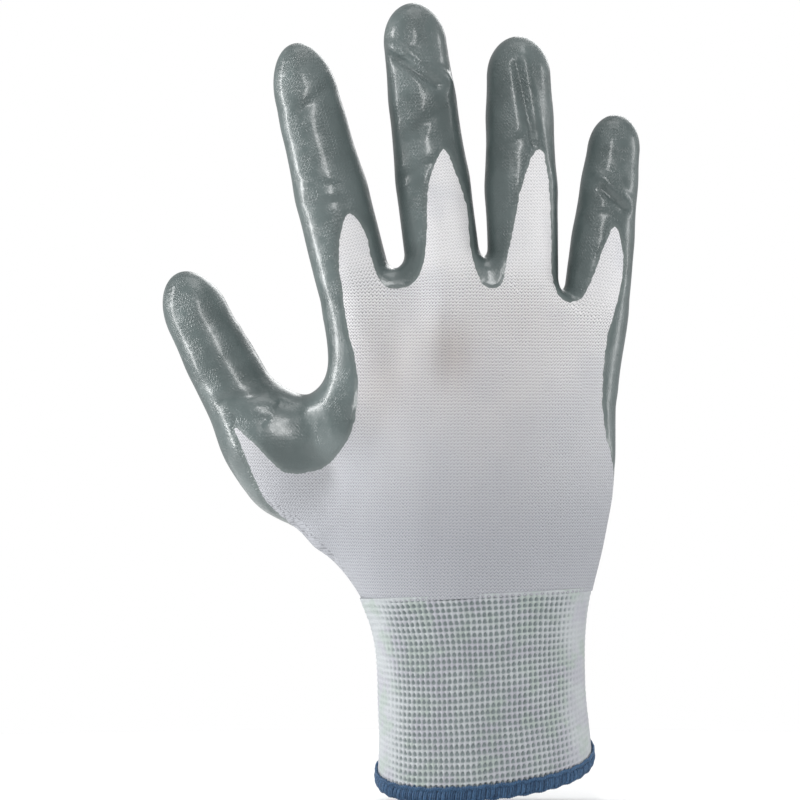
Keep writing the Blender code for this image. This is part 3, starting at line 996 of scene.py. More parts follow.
@dataclass
class GloveSkin:
    """Meshes the glove's form once, then dresses each body's length of it in knit and film."""

    form: GloveForm
    dip: DipLine
    cell: float = 0.8 * MM
    quick_cell: float = 1.5 * MM
    low: tuple[float, float, float] = (-0.104, -0.029, 0.046)
    high: tuple[float, float, float] = (0.053, 0.033, 0.242)
    wall: float = 0.9 * MM
    film_thickness: float = 0.30 * MM
    film_lip: float = 1.1 * MM
    film_bed: float = 0.06 * MM
    film_feather: float = 0.12  # the film's thickness at its very edge, as a share
    cuff_top: float = 54.0 * MM
    relaxing: int = 2
    # painted shade: the knit is darker towards the bottom of the hand and fades out between these
    # heights
    shading: tuple[float, float] = (66 * MM, 148 * MM)  # heights between which the knit lightens
    half_depth: float = 15 * MM  # of the hand, where the knit's columns turn round its side
    side_run: float = 0.6  # how much of the hand's side the knit's own width takes in
    side_turn: float = 20 * MM
    finger_join: tuple[float, float] = (-9 * MM, 13 * MM)  # where a stall's own columns begin
    thumb_join: tuple[float, float] = (3 * MM, 16 * MM)
    join_fade: tuple[float, float] = (1 * MM, 6 * MM)
    print_floor: float = 0.25  # how clearly the knit prints through the film everywhere
    print_back: float = 0.35  # more of it up the back of a stall
    print_tip: float = 0.4  # and more again on its tip
    print_half: float = 5.5 * MM
    tight_run: tuple[float, float] = (-3 * MM, 9 * MM)  # where a stall draws the knit tight
    tight: float = 0.5
    fine_low_run: tuple[float, float] = (88 * MM, 138 * MM)  # below which the knit looks finer
    fine_low: float = 0.30
    # painted warm shade on the back of the hand: x, z and sizes in mm, and amount
    shades: tuple[tuple[float, float, float, float, float], ...] = (
        (-9, 128, 6, 10, 0.55), (-31, 119, 9, 14, 0.40), (-20, 128, 24, 22, 0.25),
        (8, 118, 22, 30, 0.20), (14, 140, 14, 9, 0.18))
    knit: bpy.types.Material | None = None
    film: bpy.types.Material | None = None

    def build(self) -> Skin:
        """Mesh the form with its relief and read every value that the finishes use.

        Returns:
            The whole skin down to the cuff's top.
        """
        grid = Grid(self.low, self.high, self.cell)
        points, quads = grid.mesh(self.form)
        LOG.info("skin meshed: %d points", len(points))
        points = relax(points, quads, self.form, self.relaxing)
        smooth_normals = self.form.normal(points)
        values = self.knit_map(points)
        values["film"] = self.dip.depth_into_film(points, smooth_normals)
        values["print"] = self.print_through(points)
        values["ply"] = self.ply(points)
        # painted warm shade on the back of the hand
        values["tint"] = self.tint(points)
        # painted shade: the knit darker towards the bottom of the hand
        values["thin"] = 1 - smooth(*self.shading, points[:, 2])
        values["home"] = points / MM
        stalls = (*self.form.fingers, self.form.thumb)
        reaches = [stall.distance(points) for stall in stalls]
        for number, stall in enumerate(stalls):
            others = np.min(reaches[:number] + reaches[number + 1:], axis=0)
            values[f"along_{stall.name}"] = stall.local(points)[0]
            values[f"lead_{stall.name}"] = others - reaches[number]
        points = points + smooth_normals * self.form.relief(points, smooth_normals)[:, None]
        skin = Skin(points, quads, smooth_normals, values).triangles()
        skin.normals = self.face_normals(skin.points, skin.faces)
        values["film_normal"] = self.face_normals(
            skin.points + skin.normals * self.film_lift(values["film"])[:, None], skin.faces)
        hand = self.form.hand
        sloping = (1 - points[:, 2] / (hand.level_in_x * MM)).clip(0)
        height = points[:, 2] - hand.slope_x * sloping * points[:, 0]
        values["above_cuff"] = height - self.cuff_top
        return skin.clip(values["above_cuff"])

    def film_lift(self, film: Array) -> Array:
        """How far the film's outside stands off the knit, thinning to its edge."""
        full = self.film_feather + (1 - self.film_feather) * smooth(0.0, self.film_lip, film)
        return self.film_thickness * full * (film > 0)

    @staticmethod
    def face_normals(points: Array, faces: Array) -> Array:
        """The outward direction at each point, from the faces round it.

        Args:
            points: the mesh's points.
            faces: its triangles.

        Returns:
            A unit vector for each point.
        """
        a, b, c = (points[faces[:, k]] for k in range(3))
        area = np.cross(b - a, c - a)
        total = np.zeros_like(points)
        for k in range(3):
            np.add.at(total, faces[:, k], area)
        return total / np.maximum(np.linalg.norm(total, axis=1)[:, None], 1e-15)

    def knit_map(self, points: Array) -> dict[str, Array]:
        """The knit's own grid: how far across and along it each point is, in mm.

        Args:
            points: places in metres.

        Returns:
            "wale" across the knit and "course" along it.
        """
        x, y, z = points.T
        around = self.half_depth - np.abs(y - self.form.hand.middle_y * MM)
        wale = x + self.side_run * np.tanh(x / self.side_turn) * around
        course = z.copy()
        for stall in (*self.form.fingers, self.form.thumb):
            along, wide, deep = stall.local(points)
            half = np.interp(along, [p * MM for p, _ in stall.girth],
                             [w * MM for _, w in stall.girth])
            turn = np.arctan2(wide, np.abs(deep) / stall.depth)
            own = half * turn + stall.root[0]
            join = self.thumb_join if stall is self.form.thumb else self.finger_join
            share = smooth(*join, along) * (1 - smooth(*self.join_fade, stall.distance(points)))
            wale = wale * (1 - share) + own * share
            course = course * (1 - share) + (stall.root[2] + along) * share
        return {"wale": wale / MM, "course": course / MM}

    def print_through(self, points: Array) -> Array:
        """How clearly the knit's courses print through the film.

        Args:
            points: places in metres.

        Returns:
            0 to 1 for each point.
        """
        amount = np.full(len(points), self.print_floor)
        for stall in (*self.form.fingers, self.form.thumb):
            along, wide, deep = stall.local(points)
            near = stall.distance(points) < 2 * MM
            back = 1 - smooth(-3 * MM, 1 * MM, deep)
            middle = np.exp(-(wide / self.print_half) ** 2)
            tip = smooth(stall.length * MM - 26 * MM, stall.length * MM - 8 * MM, along)
            here = self.print_floor + back * middle * (self.print_back + self.print_tip * tip)
            amount = np.where(near, np.maximum(amount, here), amount)
        return amount

    def ply(self, points: Array) -> Array:
        """How coarse the knit looks, and how deep the painted shade in its stitch gaps is.

        Args:
            points: places in metres.

        Returns:
            1 on the hand, and less where a stall draws the knit tight and lower down the hand.
        """
        tight = np.zeros(len(points))
        for stall in self.form.fingers:
            along = stall.local(points)[0]
            near = 1 - smooth(*self.join_fade, stall.distance(points))
            tight = np.maximum(tight, near * smooth(*self.tight_run, along))
        fine_low = 1 - smooth(*self.fine_low_run, points[:, 2])
        return (1 - self.tight * tight) * (1 - self.fine_low * fine_low)

    def tint(self, points: Array) -> Array:
        """How much painted warm shade lies on the knit.

        Args:
            points: places in metres.

        Returns:
            0 to 1 for each point, and 0 on the palm side.
        """
        total = np.zeros(len(points))
        for x, z, size_x, size_z, amount in self.shades:
            total += amount * np.exp(-((points[:, 0] / MM - x) / size_x) ** 2
                                     - ((points[:, 2] / MM - z) / size_z) ** 2)
        return total * (points[:, 1] < self.form.hand.middle_y * MM)

    def region(self, skin: Skin, stall: Stall, low: float, high: float | None) -> Skin:
        """Cut one length of a stall from the skin.

        Args:
            skin: the whole skin.
            stall: the stall.
            low: where the length begins along the stall, mm.
            high: where it ends, or None for the tip.

        Returns:
            That part of the skin.
        """
        along = skin.values[f"along_{stall.name}"]
        level = np.minimum(along - low * MM, skin.values[f"lead_{stall.name}"])
        if high is not None:
            level = np.minimum(level, high * MM - along)
        return skin.clip(level)

    def dress(self, skin: Skin) -> None:
        """Make the knit and the film of every body's length.

        Args:
            skin: the whole skin.
        """
        hand = skin
        for stall in (*self.form.fingers, self.form.thumb):
            cut = CUTS[stall.name]
            ends = (cut.base, *cut.lengths, None)
            bodies = [joint["child"] for name in stall.hinges for joint in frame["joints"]
                      if joint["name"] == name]
            for number, body in enumerate(bodies):
                part = self.region(skin, stall, ends[number], ends[number + 1])
                parent = "hand" if number == 0 else bodies[number - 1]
                stretch = [tuple(stall.root + stall.axis * (s * MM)) for s in cut.folds[number]]
                self.layers(part, body, (parent, body, *stretch))
            along = hand.values[f"along_{stall.name}"]
            lead = hand.values[f"lead_{stall.name}"]
            hand = hand.clip(-np.minimum(along - cut.base * MM, lead))
        self.layers(hand, "hand", None)

    def layers(self, part: Skin, body: str, bend: tuple | None) -> None:
        """Add the knit and the film of one length, and join them to the body when the length has
        no bend; other lengths stay in place.

        Args:
            part: that length of the skin.
            body: the body that it belongs to.
            bend: the two bodies that it lies between with the two ends of the stretch at its
                fold, or None; only whether it is None is used.
        """
        part = part.main_body()
        knit = part.walled(np.zeros(len(part.points)), np.full(len(part.points), self.wall))
        liner = add_skin(f"knit_{body}", knit, self.knit)
        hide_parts(f"liner_{body}")
        covered = part.clip(part.values["film"]).main_body()
        lift = self.film_lift(covered.values["film"])
        coat = covered.walled(lift, np.full(len(lift), self.film_bed))
        half = len(covered.points)
        coat.normals[:half] = covered.values["film_normal"]
        film = add_skin(f"dip_{body}", coat, self.film)
        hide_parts("film_palm" if body == "hand" else f"film_{body}")
        for piece, slot in ((liner, "white_knit"), (film, "grey_film")):
            if bend is None:
                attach(piece, body)
            else:
                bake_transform(piece)
        LOG.info("%s: knit %d and film %d triangles", body, len(knit.faces), len(coat.faces))


FINISH_VALUES = ("wale", "course", "film", "print", "ply", "tint", "thin", "pit", "strand")


def add_skin(name: str, skin: Skin, material: bpy.types.Material) -> bpy.types.Object:
    """Make an object of a skin, with its values as attributes and its own normals.

    Args:
        name: the object's name.
        skin: its mesh.
        material: its finish.

    Returns:
        The new object.
    """
    mesh = bpy.data.meshes.new(name)
    mesh.from_pydata(skin.points.tolist(), [], skin.faces.tolist())
    mesh.materials.append(material)
    for key in FINISH_VALUES:
        if key in skin.values:
            scale = 1 / MM if key == "film" else 1.0
            layer = mesh.attributes.new(key, "FLOAT", "POINT")
            layer.data.foreach_set("value", (skin.values[key] * scale).astype(np.float32))
    layer = mesh.attributes.new("home", "FLOAT_VECTOR", "POINT")
    layer.data.foreach_set("vector", skin.values["home"].astype(np.float32).ravel())
    mesh.polygons.foreach_set("use_smooth", [True] * len(mesh.polygons))
    length = np.maximum(np.linalg.norm(skin.normals, axis=1)[:, None], TINY)
    mesh.normals_split_custom_set_from_vertices((skin.normals / length).tolist())
    mesh.update()
    obj = bpy.data.objects.new(name, mesh)
    bpy.context.scene.collection.objects.link(obj)
    return obj


# ------------------------------------------------------------------------------ cuff and hem


def looped_faces(rows: int, columns: int) -> Array:
    """The triangles of a mesh that is closed both ways, numbered row by row.

    Args:
        rows: how many rings of points it has.
        columns: how many points are in each.

    Returns:
        The triangles.
    """
    loops = np.arange(rows * columns).reshape(rows, columns)
    side, after = np.roll(loops, -1, axis=1), np.roll(loops, -1, axis=0)
    corner = np.roll(side, -1, axis=0)
    quads = np.stack([loops, side, corner, after], axis=-1).reshape(-1, 4)
    return np.concatenate([quads[:, [0, 1, 2]], quads[:, [0, 2, 3]]])


@dataclass
class Wrist:
    """Even spacing round the wrist's girth."""

    hand: HandForm
    samples: int = 1440

    def turns(self, count: int, height: float) -> Array:
        """Space points evenly round the wrist.

        Args:
            count: how many points.
            height: the height of the ring, in metres.

        Returns:
            The angle of each.
        """
        fine = np.linspace(0, TURN, self.samples + 1)
        ring = self.hand.ring(np.full(len(fine), height), fine, 0.0)
        run = np.concatenate([[0], np.cumsum(np.linalg.norm(np.diff(ring, axis=0), axis=1))])
        return np.interp(np.arange(count) / count * run[-1], run, fine)

    def place(self, height: Array, turn: Array, inset: Array) -> Array:
        """Find points on or under the wrist's skin.

        Args:
            height: their heights in metres.
            turn: their angles round the wrist.
            inset: how far under the skin each lies, in metres.

        Returns:
            The points.
        """
        at = self.hand.ring(height, turn, 0.0)
        deeper = self.hand.ring(height, turn, 1 * MM)
        return at + (deeper - at) * (inset / MM)[..., None]


@dataclass
class Cuff:
    """The ribbed cuff, each stitch in relief: ribs up it, and a hollow between every two."""

    wrist: Wrist
    columns: int = 104
    rows: int = 30
    across: int = 5  # faces across a stitch
    along: int = 5  # faces up a stitch
    low: float = 3.2 * MM
    high: float = 55.2 * MM
    ground: float = 0.45 * MM
    hollow: float = 0.62 * MM
    rib: float = 0.26 * MM
    loop: float = 0.13 * MM
    pit_half: float = 0.82  # half a hollow's width, in half stitches
    pit_taper: float = 0.95  # how fast it narrows upwards
    pit_height: float = 0.43  # half its height, in stitches
    leg_lean: float = 0.42  # how far a loop's leg leans across a half stitch
    side_closed: float = 0.22  # how open the hollows stay at the wrist's sides
    sides: tuple[float, float] = (0.62, 0.93)  # where they close, as a share of the half width
    spacing_height: float = 28 * MM  # the ring on which the stitches are evenly spaced
    swell: float = 0.25 * MM
    inner: float = 2.1 * MM
    material: bpy.types.Material | None = None

    def relief(self, column: Array, row: Array, open_: Array) -> tuple[Array, Array]:
        """The knit's height and how far into a hollow each place is.

        Args:
            column: places round the cuff, in stitches.
            row: places up it, in stitches.
            open_: how far the knit is stretched open at each place, 0 to 1.

        Returns:
            The height in metres, and 0 to 1.
        """
        a = np.abs(column % 1.0 - 0.5) * 2
        b = row % 1.0 - 0.5
        narrow = self.pit_half - self.pit_taper * b
        away = np.sqrt((a / narrow) ** 2 + (b / self.pit_height) ** 2)
        pit = (1 - smooth(0.50, 1.15, away)) * open_
        rib = smooth(0.25, 0.95, a)
        leg = 0.5 + 0.5 * np.cos(TURN * (row + self.leg_lean * a))
        bridge = smooth(0.2, 0.5, np.abs(b)) * (1 - rib)
        height = self.rib * rib * (0.3 + 0.7 * open_) - self.hollow * pit
        return height + self.loop * (leg * (0.4 + 0.6 * rib) + bridge), pit

    def build(self) -> bpy.types.Object:
        """Make the cuff as one closed body.

        Returns:
            The new object.
        """
        across, along = ((self.across, self.along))
        count, steps = self.columns * across, self.rows * along
        turns = self.wrist.turns(count, self.spacing_height)
        column, row = np.meshgrid(np.arange(count) / across, np.arange(steps + 1) / along)
        turn = np.broadcast_to(turns, column.shape)
        height = self.low + (self.high - self.low) * row / self.rows
        rough = self.wrist.place(height, turn, np.zeros_like(height)).reshape(-1, 3)
        sway = drift_noise(rough, 14 * MM, 1.3).reshape(column.shape)
        shake = drift_noise(rough, 3.5 * MM, 6.1).reshape(column.shape)
        side = np.abs(np.cos(turn)) + 0.06 * sway
        open_ = 1 - (1 - self.side_closed) * smooth(*self.sides, side)
        open_ = open_ * (1 - smooth(self.rows - 1.0, self.rows - 0.2, row)) * (1 + 0.15 * shake)
        relief, pit = self.relief(column + 0.16 * sway + 0.10 * shake, row + 0.22 * sway, open_)
        swell = self.swell * drift_noise(rough, 11 * MM, 4.4).reshape(column.shape)
        outer = self.wrist.place(height, turn, self.ground - relief - swell)
        inner_rows = np.array([steps, steps // 2, 0])
        inner = self.wrist.place(height[inner_rows], turn[inner_rows],
                                 np.full((3, count), self.inner))
        points = np.concatenate([outer, inner]).reshape(-1, 3)
        faces = looped_faces(steps + 4, count)
        normals = GloveSkin.face_normals(points, faces)
        fill = np.zeros((3, count))
        values = {"pit": np.concatenate([pit, fill + 0.3]).ravel(),
                  "wale": np.concatenate([column, fill]).ravel(), "home": points / MM}
        cuff = add_skin("ribbed_cuff", Skin(points, faces, normals, values), self.material)
        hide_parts("cuff")
        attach(cuff, "hand")
        LOG.info("cuff: %d stitches, %d triangles", self.columns * self.rows, len(faces))
        return cuff


def tube(path: Array, radius: float, sides: int) -> tuple[Array, Array]:
    """A round tube along a closed path.

    Args:
        path: its middle line's points.
        radius: half its thickness.
        sides: facets round it.

    Returns:
        Points and triangles.
    """
    ahead = np.roll(path, -1, axis=0) - np.roll(path, 1, axis=0)
    ahead /= np.linalg.norm(ahead, axis=1)[:, None]
    first = np.cross(ahead, path - path.mean(axis=0))
    first /= np.maximum(np.linalg.norm(first, axis=1)[:, None], TINY)
    second = np.cross(ahead, first)
    angle = np.arange(sides) / sides * TURN
    ring = (path[:, None] + radius * (np.cos(angle)[None, :, None] * first[:, None]
                                      + np.sin(angle)[None, :, None] * second[:, None]))
    return ring.reshape(-1, 3), looped_faces(len(path), sides)


@dataclass
class Hem:
    """The overlocked hem: a core under thread wound round the edge, with two looper chains."""

    wrist: Wrist
    wraps: int = 256
    wrap_points: int = 18
    thread: float = 0.33 * MM
    middle: tuple[float, float] = (2.05, 1.05)  # height, and depth under the skin, mm
    reach: tuple[float, float] = (1.80, 1.45)  # of the winding from its middle, mm
    slant: float = 0.75  # how far a wrap runs on along the edge, in wraps
    thread_sides: int = 7
    chain_thread: float = 0.34 * MM
    chain_sides: int = 6
    chain_points: int = 4  # for each wrap
    chains: tuple[tuple[float, float, float], ...] = (  # height, depth and swing, mm
        (3.80, -0.25, 0.40), (0.45, 0.2, 0.2))
    core_points: int = 14
    core_under: float = 0.1  # how far the core lies under the winding's middle line, mm
    shade_step: float = 0.618  # from one wrap's shade to the next's
    material: bpy.types.Material | None = None

    def wrap_path(self, number: int, turns: Array) -> Array:
        """One wrap of thread round the edge.

        Args:
            number: which wrap.
            turns: every wrap's angle round the wrist.

        Returns:
            The wrap's middle line.
        """
        phase = np.arange(self.wrap_points) / self.wrap_points * TURN
        wobble = math.sin(number * 2.4) * 0.10 + math.sin(number * 0.37) * 0.14
        size = 1 + 0.05 * math.sin(number * 5.1)
        height = (self.middle[0] + wobble + self.reach[0] * size * np.sin(phase)) * MM
        inset = (self.middle[1] - self.reach[1] * size * np.cos(phase)) * MM
        run = number + self.slant * np.sin(phase) * 0.5 + 0.12 * math.sin(number * 3.3)
        turn = np.interp(run, np.arange(-2, self.wraps + 3), self.unrolled(turns))
        return self.wrist.place(height, turn, inset)

    def unrolled(self, turns: Array) -> Array:
        """The wraps' turns with a few more at each end, so that a wrap can cross the start."""
        return np.concatenate([turns[-2:] - TURN, turns, turns[:3] + TURN])

    def chain_path(self, height: float, inset: float, swing: float, turns: Array) -> Array:
        """A looper thread's zigzag round the edge.

        Args:
            height: its height, mm.
            inset: its depth under the skin, mm.
            swing: how far it swings up and down, mm.
            turns: every wrap's angle round the wrist.

        Returns:
            The thread's middle line.
        """
        run = np.arange(self.wraps * self.chain_points) / self.chain_points
        turn = np.interp(run, np.arange(-2, self.wraps + 3), self.unrolled(turns))
        heights = (height + swing * np.sin(run * TURN) + 0.18 * np.sin(run * 0.9)) * MM
        return self.wrist.place(heights, turn, (inset - 0.15 * np.cos(run * TURN)) * MM)

    def core(self, turns: Array) -> tuple[Array, Array]:
        """The turned-in edge that the thread covers.

        Args:
            turns: every wrap's angle round the wrist.

        Returns:
            Points and triangles.
        """
        phase = np.arange(self.core_points) / self.core_points * TURN
        grid_turn, grid_phase = np.meshgrid(turns, phase, indexing="ij")
        rise, deep = (reach - self.core_under for reach in self.reach)
        height = (self.middle[0] + rise * np.sin(grid_phase)) * MM
        inset = (self.middle[1] - deep * np.cos(grid_phase)) * MM
        points = self.wrist.place(height, grid_turn, inset)
        return points.reshape(-1, 3), looped_faces(len(turns), self.core_points)

    def build(self) -> bpy.types.Object:
        """Make the hem as closed bodies in one piece.

        Returns:
            The new object.
        """
        turns = self.wrist.turns(self.wraps, 3 * MM)
        parts = [self.core(turns)]
        for number in range(self.wraps):
            parts.append(tube(self.wrap_path(number, turns), self.thread, self.thread_sides))
        for height, inset, swing in self.chains:
            path = self.chain_path(height, inset, swing, turns)
            parts.append(tube(path, self.chain_thread, self.chain_sides))
        points, faces, strand, offset = [], [], [], 0
        for number, (corners, triangles) in enumerate(parts):
            points.append(corners)
            faces.append(outward(corners, triangles) + offset)
            strand.append(np.full(len(corners), (number * self.shade_step) % 1.0))
            offset += len(corners)
        all_points, all_faces = np.concatenate(points), np.concatenate(faces)
        normals = GloveSkin.face_normals(all_points, all_faces)
        values = {"strand": np.concatenate(strand), "home": all_points / MM}
        hem = add_skin("overlock_thread", Skin(all_points, all_faces, normals, values),
                       self.material)
        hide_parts("hem_overlock")
        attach(hem, "hand")
        LOG.info("hem: %d wraps, %d triangles", self.wraps, len(all_faces))
        return hem


def outward(points: Array, faces: Array) -> Array:
    """Turn the faces of a closed body so that they face out.

    Args:
        points: the body's points.
        faces: its triangles.

    Returns:
        The triangles, reversed if they faced in.
    """
    a, b, c = (points[faces[:, k]] for k in range(3))
    volume = np.einsum("ij,ij->i", a, np.cross(b, c)).sum()
    return faces if volume > 0 else faces[:, ::-1]


# ------------------------------------------------------------------------------ finishes


class Wiring:
    """A material's node tree, with short ways to add the nodes that these finishes need."""

    def __init__(self, name: str) -> None:
        """Start a material with a Principled shader."""
        self.material = bpy.data.materials.new(name)
        self.material.use_nodes = True
        self.nodes = self.material.node_tree.nodes
        self.links = self.material.node_tree.links
        self.shader = self.nodes["Principled BSDF"]

    def feed(self, socket: Socket, source: Socket | float) -> None:
        """Link a socket, or set its own value."""
        if isinstance(source, (int, float)):
            socket.default_value = source
        else:
            self.links.new(source, socket)

    def fix(self, **values: float) -> None:
        """Set the shader's own sockets, whose names are given with _ for each space."""
        for name, value in values.items():
            self.shader.inputs[name.replace("_", " ")].default_value = value

    def attribute(self, name: str, vector: bool = False) -> Socket:
        """Read a named attribute of the mesh.

        Args:
            name: the attribute's name.
            vector: whether it holds a place and not a number.

        Returns:
            Its socket.
        """
        node = self.nodes.new("ShaderNodeAttribute")
        node.attribute_name = name
        return node.outputs["Vector" if vector else "Fac"]

    def math(self, operation: str, *sources: Socket | float) -> Socket:
        """Add a Math node.

        Args:
            operation: what it does.
            sources: its inputs, in order.

        Returns:
            Its result.
        """
        node = self.nodes.new("ShaderNodeMath")
        node.operation = operation
        for socket, source in zip(node.inputs, sources):
            self.feed(socket, source)
        return node.outputs[0]

    def ease(self, source: Socket, low: float, high: float,
             to_low: float = 0.0, to_high: float = 1.0) -> Socket:
        """Ease a value from one range to another.

        Args:
            source: the value.
            low: where the ease starts.
            high: where it ends.
            to_low: the result at its start.
            to_high: the result at its end.

        Returns:
            The eased value.
        """
        node = self.nodes.new("ShaderNodeMapRange")
        node.interpolation_type = "SMOOTHSTEP"
        for key, value in (("Value", source), ("From Min", low), ("From Max", high),
                           ("To Min", to_low), ("To Max", to_high)):
            self.feed(node.inputs[key], value)
        return node.outputs["Result"]

    def noise(self, vector: Socket, scale: float, detail: float = 2.0) -> Socket:
        """Noise that stays on the mesh.

        Args:
            vector: the mesh's places at rest, mm.
            scale: how many swells it has in a mm.
            detail: how many finer layers it has.

        Returns:
            The noise, 0 to 1.
        """
        node = self.nodes.new("ShaderNodeTexNoise")
        self.links.new(vector, node.inputs["Vector"])
        node.inputs["Scale"].default_value = scale
        node.inputs["Detail"].default_value = detail
        return node.outputs["Fac"]

    def mix(self, share: Socket, first: Socket | tuple, second: Socket | tuple) -> Socket:
        """Blend two colours by a share that varies over the surface.

        Args:
            share: how much of the second colour there is.
            first: the first colour.
            second: the second.

        Returns:
            The blended colour.
        """
        node = self.nodes.new("ShaderNodeMix")
        node.data_type = "RGBA"
        self.links.new(share, node.inputs[0])
        for socket, source in ((node.inputs[6], first), (node.inputs[7], second)):
            if isinstance(source, tuple):
                socket.default_value = (*source, 1.0)
            else:
                self.links.new(source, socket)
        return node.outputs[2]

    def bump(self, height: Socket, distance: float, strength: float,
             under: Socket | None = None) -> Socket:
        """Add a Bump node.

        Args:
            height: the relief.
            distance: how high it stands, in metres.
            strength: how much of it shows.
            under: another Bump node's normal that it lies on.

        Returns:
            The bumped normal.
        """
        node = self.nodes.new("ShaderNodeBump")
        node.inputs["Strength"].default_value = strength
        node.inputs["Distance"].default_value = distance
        self.links.new(height, node.inputs["Height"])
        if under is not None:
            self.links.new(under, node.inputs["Normal"])
        return node.outputs["Normal"]

    def stitches(self, wale_pitch: float, course_pitch: float, home: Socket) -> Socket:
        """Plain knit as a height from 0 to 1: columns of V-shaped loops.

        Args:
            wale_pitch: width of a stitch, mm.
            course_pitch: height of a stitch, mm.
            home: the mesh's places at rest, which loosen the rows a little.

        Returns:
            The height.
        """
        swing = self.math("SUBTRACT", self.noise(home, 0.45, 1.0), 0.5)
        loose = self.math("MULTIPLY", swing, 0.7)
        across = self.math("ADD", self.math("DIVIDE", self.attribute("wale"), wale_pitch), loose)
        up = self.math("ADD", self.math("DIVIDE", self.attribute("course"), course_pitch), loose)
        side = self.math("MULTIPLY", self.math(
            "ABSOLUTE", self.math("SUBTRACT", self.math("FRACT", across), 0.5)), 2.0)
        lean = self.math("FRACT", self.math("ADD", up, self.math("MULTIPLY", side, 0.72)))
        leg = self.math("SINE", self.math("MULTIPLY", lean, math.pi))
        closed = self.ease(leg, 0.08, 0.95, 1.0, 0.0)
        gap = self.math("MULTIPLY", closed, self.ease(side, 0.15, 0.95, 0.74, 1.0))
        between = self.ease(side, 0.84, 1.0, 1.0, 0.82)
        return self.math("MULTIPLY", self.math("SUBTRACT", 1.0, gap), between)


@dataclass(frozen=True)
class KnitFinish:
    """White plain knit with painted shade in the gaps between its stitches, and fibres lifting
    off it.
    """

    light: tuple[float, float, float] = (0.765, 0.757, 0.765)
    # colour of the painted shade in the stitch gaps
    gap: tuple[float, float, float] = (0.12, 0.123, 0.133)
    # colour of the painted shade low on the hand
    shade: tuple[float, float, float] = (0.39, 0.40, 0.43)
    # colour of the painted warm shade on the back of the hand
    warm: tuple[float, float, float] = (0.50, 0.465, 0.45)
    cool: tuple[float, float, float] = (0.69, 0.69, 0.715)
    wale_pitch: float = 1.04
    course_pitch: float = 1.0
    fuzz_scale: float = 3.0
    fuzz_rise: float = 0.4
    fuzz_shade: float = 0.45
    patch_scale: float = 0.055
    relief: float = 0.28 * MM
    relief_strength: float = 0.5
    roughness: float = 0.9

    def make(self) -> bpy.types.Material:
        """Build the material.

        Returns:
            The material.
        """
        w = Wiring("white_knit_finish")
        home = w.attribute("home", vector=True)
        ply = w.attribute("ply")
        stitch = w.stitches(self.wale_pitch, self.course_pitch, home)
        fuzz = w.noise(home, self.fuzz_scale, 3.0)
        height = w.math("ADD", w.math("MULTIPLY", stitch, ply),
                        w.math("MULTIPLY", fuzz, self.fuzz_rise))
        patch = w.ease(w.noise(home, self.patch_scale, 2.0), 0.38, 0.68)
        plain = w.mix(patch, self.light, self.cool)
        # painted shade: the knit darker towards the bottom of the hand
        lower = w.mix(w.attribute("thin"), plain, self.shade)
        # painted warm shade on the back of the hand
        shaded = w.mix(w.attribute("tint"), lower, self.warm)
        rough = w.math("ADD", stitch, w.math("MULTIPLY", fuzz, self.fuzz_shade))
        # painted shade in the gaps between stitches, weaker where ply is low
        dark = w.math("MULTIPLY", w.ease(rough, 0.2, 0.95, 1.0, 0.0), ply)
        w.feed(w.shader.inputs["Base Color"], w.mix(dark, shaded, self.gap))
        w.feed(w.shader.inputs["Normal"], w.bump(height, self.relief, self.relief_strength))
        w.fix(Roughness=self.roughness, Specular_IOR_Level=0.2, Sheen_Weight=0.10,
              Sheen_Roughness=0.5)
        return w.material


@dataclass(frozen=True)
class FilmFinish:
    """Grey-green dipped film, half gloss, with the knit's courses printing through it."""

    deep: tuple[float, float, float] = (0.072, 0.094, 0.093)
    pale: tuple[float, float, float] = (0.104, 0.132, 0.131)
    # the film's own lighter colour where it thins at its edge
    thin: tuple[float, float, float] = (0.130, 0.156, 0.152)
    wale_pitch: float = 1.12
    course_pitch: float = 1.25
    lumps: tuple[float, float, float] = (0.14, 2.4 * MM, 0.18)  # scale, rise and strength
    pits: tuple[float, float, float] = (0.8, 0.4 * MM, 0.12)
    knit_print: tuple[float, float] = (0.3 * MM, 0.6)
    rows: float = 0.35  # how strongly whole rows print through, beside the stitches
    polish: tuple[float, float] = (0.28, 0.40)  # the roughness, where it varies
    coat: float = 0.3
    coat_roughness: float = 0.14

    def make(self) -> bpy.types.Material:
        """Build the material.

        Returns:
            The material.
        """
        w = Wiring("grey_film_finish")
        home = w.attribute("home", vector=True)
        stitch = w.stitches(self.wale_pitch, self.course_pitch, home)
        uneven = w.ease(w.noise(home, 0.22, 3.0), 0.35, 0.68)
        showing = w.math("MULTIPLY", w.attribute("print"), w.math("ADD", uneven, 0.12))
        course = w.math("DIVIDE", w.attribute("course"), self.course_pitch)
        sway = w.math("MULTIPLY", w.noise(home, 0.5, 1.0), 1.6)
        row = w.math("SINE", w.math("MULTIPLY", w.math("ADD", course, sway), TURN))
        height = w.math("ADD", w.math("MULTIPLY", row, self.rows), stitch)
        printed = w.math("MULTIPLY", height, showing)
        soft = w.bump(w.noise(home, self.lumps[0], 1.0), *self.lumps[1:])
        pitted = w.bump(w.noise(home, self.pits[0], 2.0), *self.pits[1:], soft)
        w.feed(w.shader.inputs["Normal"], w.bump(printed, *self.knit_print, pitted))
        tone = w.mix(w.ease(w.noise(home, 0.07, 3.0), 0.3, 0.7), self.deep, self.pale)
        edge = w.ease(w.attribute("film"), 0.1, 1.3, 0.75, 0.0)
        w.feed(w.shader.inputs["Base Color"], w.mix(edge, tone, self.thin))
        w.feed(w.shader.inputs["Roughness"],
               w.ease(w.noise(home, 0.6, 3.0), 0.3, 0.75, *self.polish))
        w.fix(Specular_IOR_Level=0.6, Coat_Weight=self.coat, Coat_Roughness=self.coat_roughness)
        return w.material


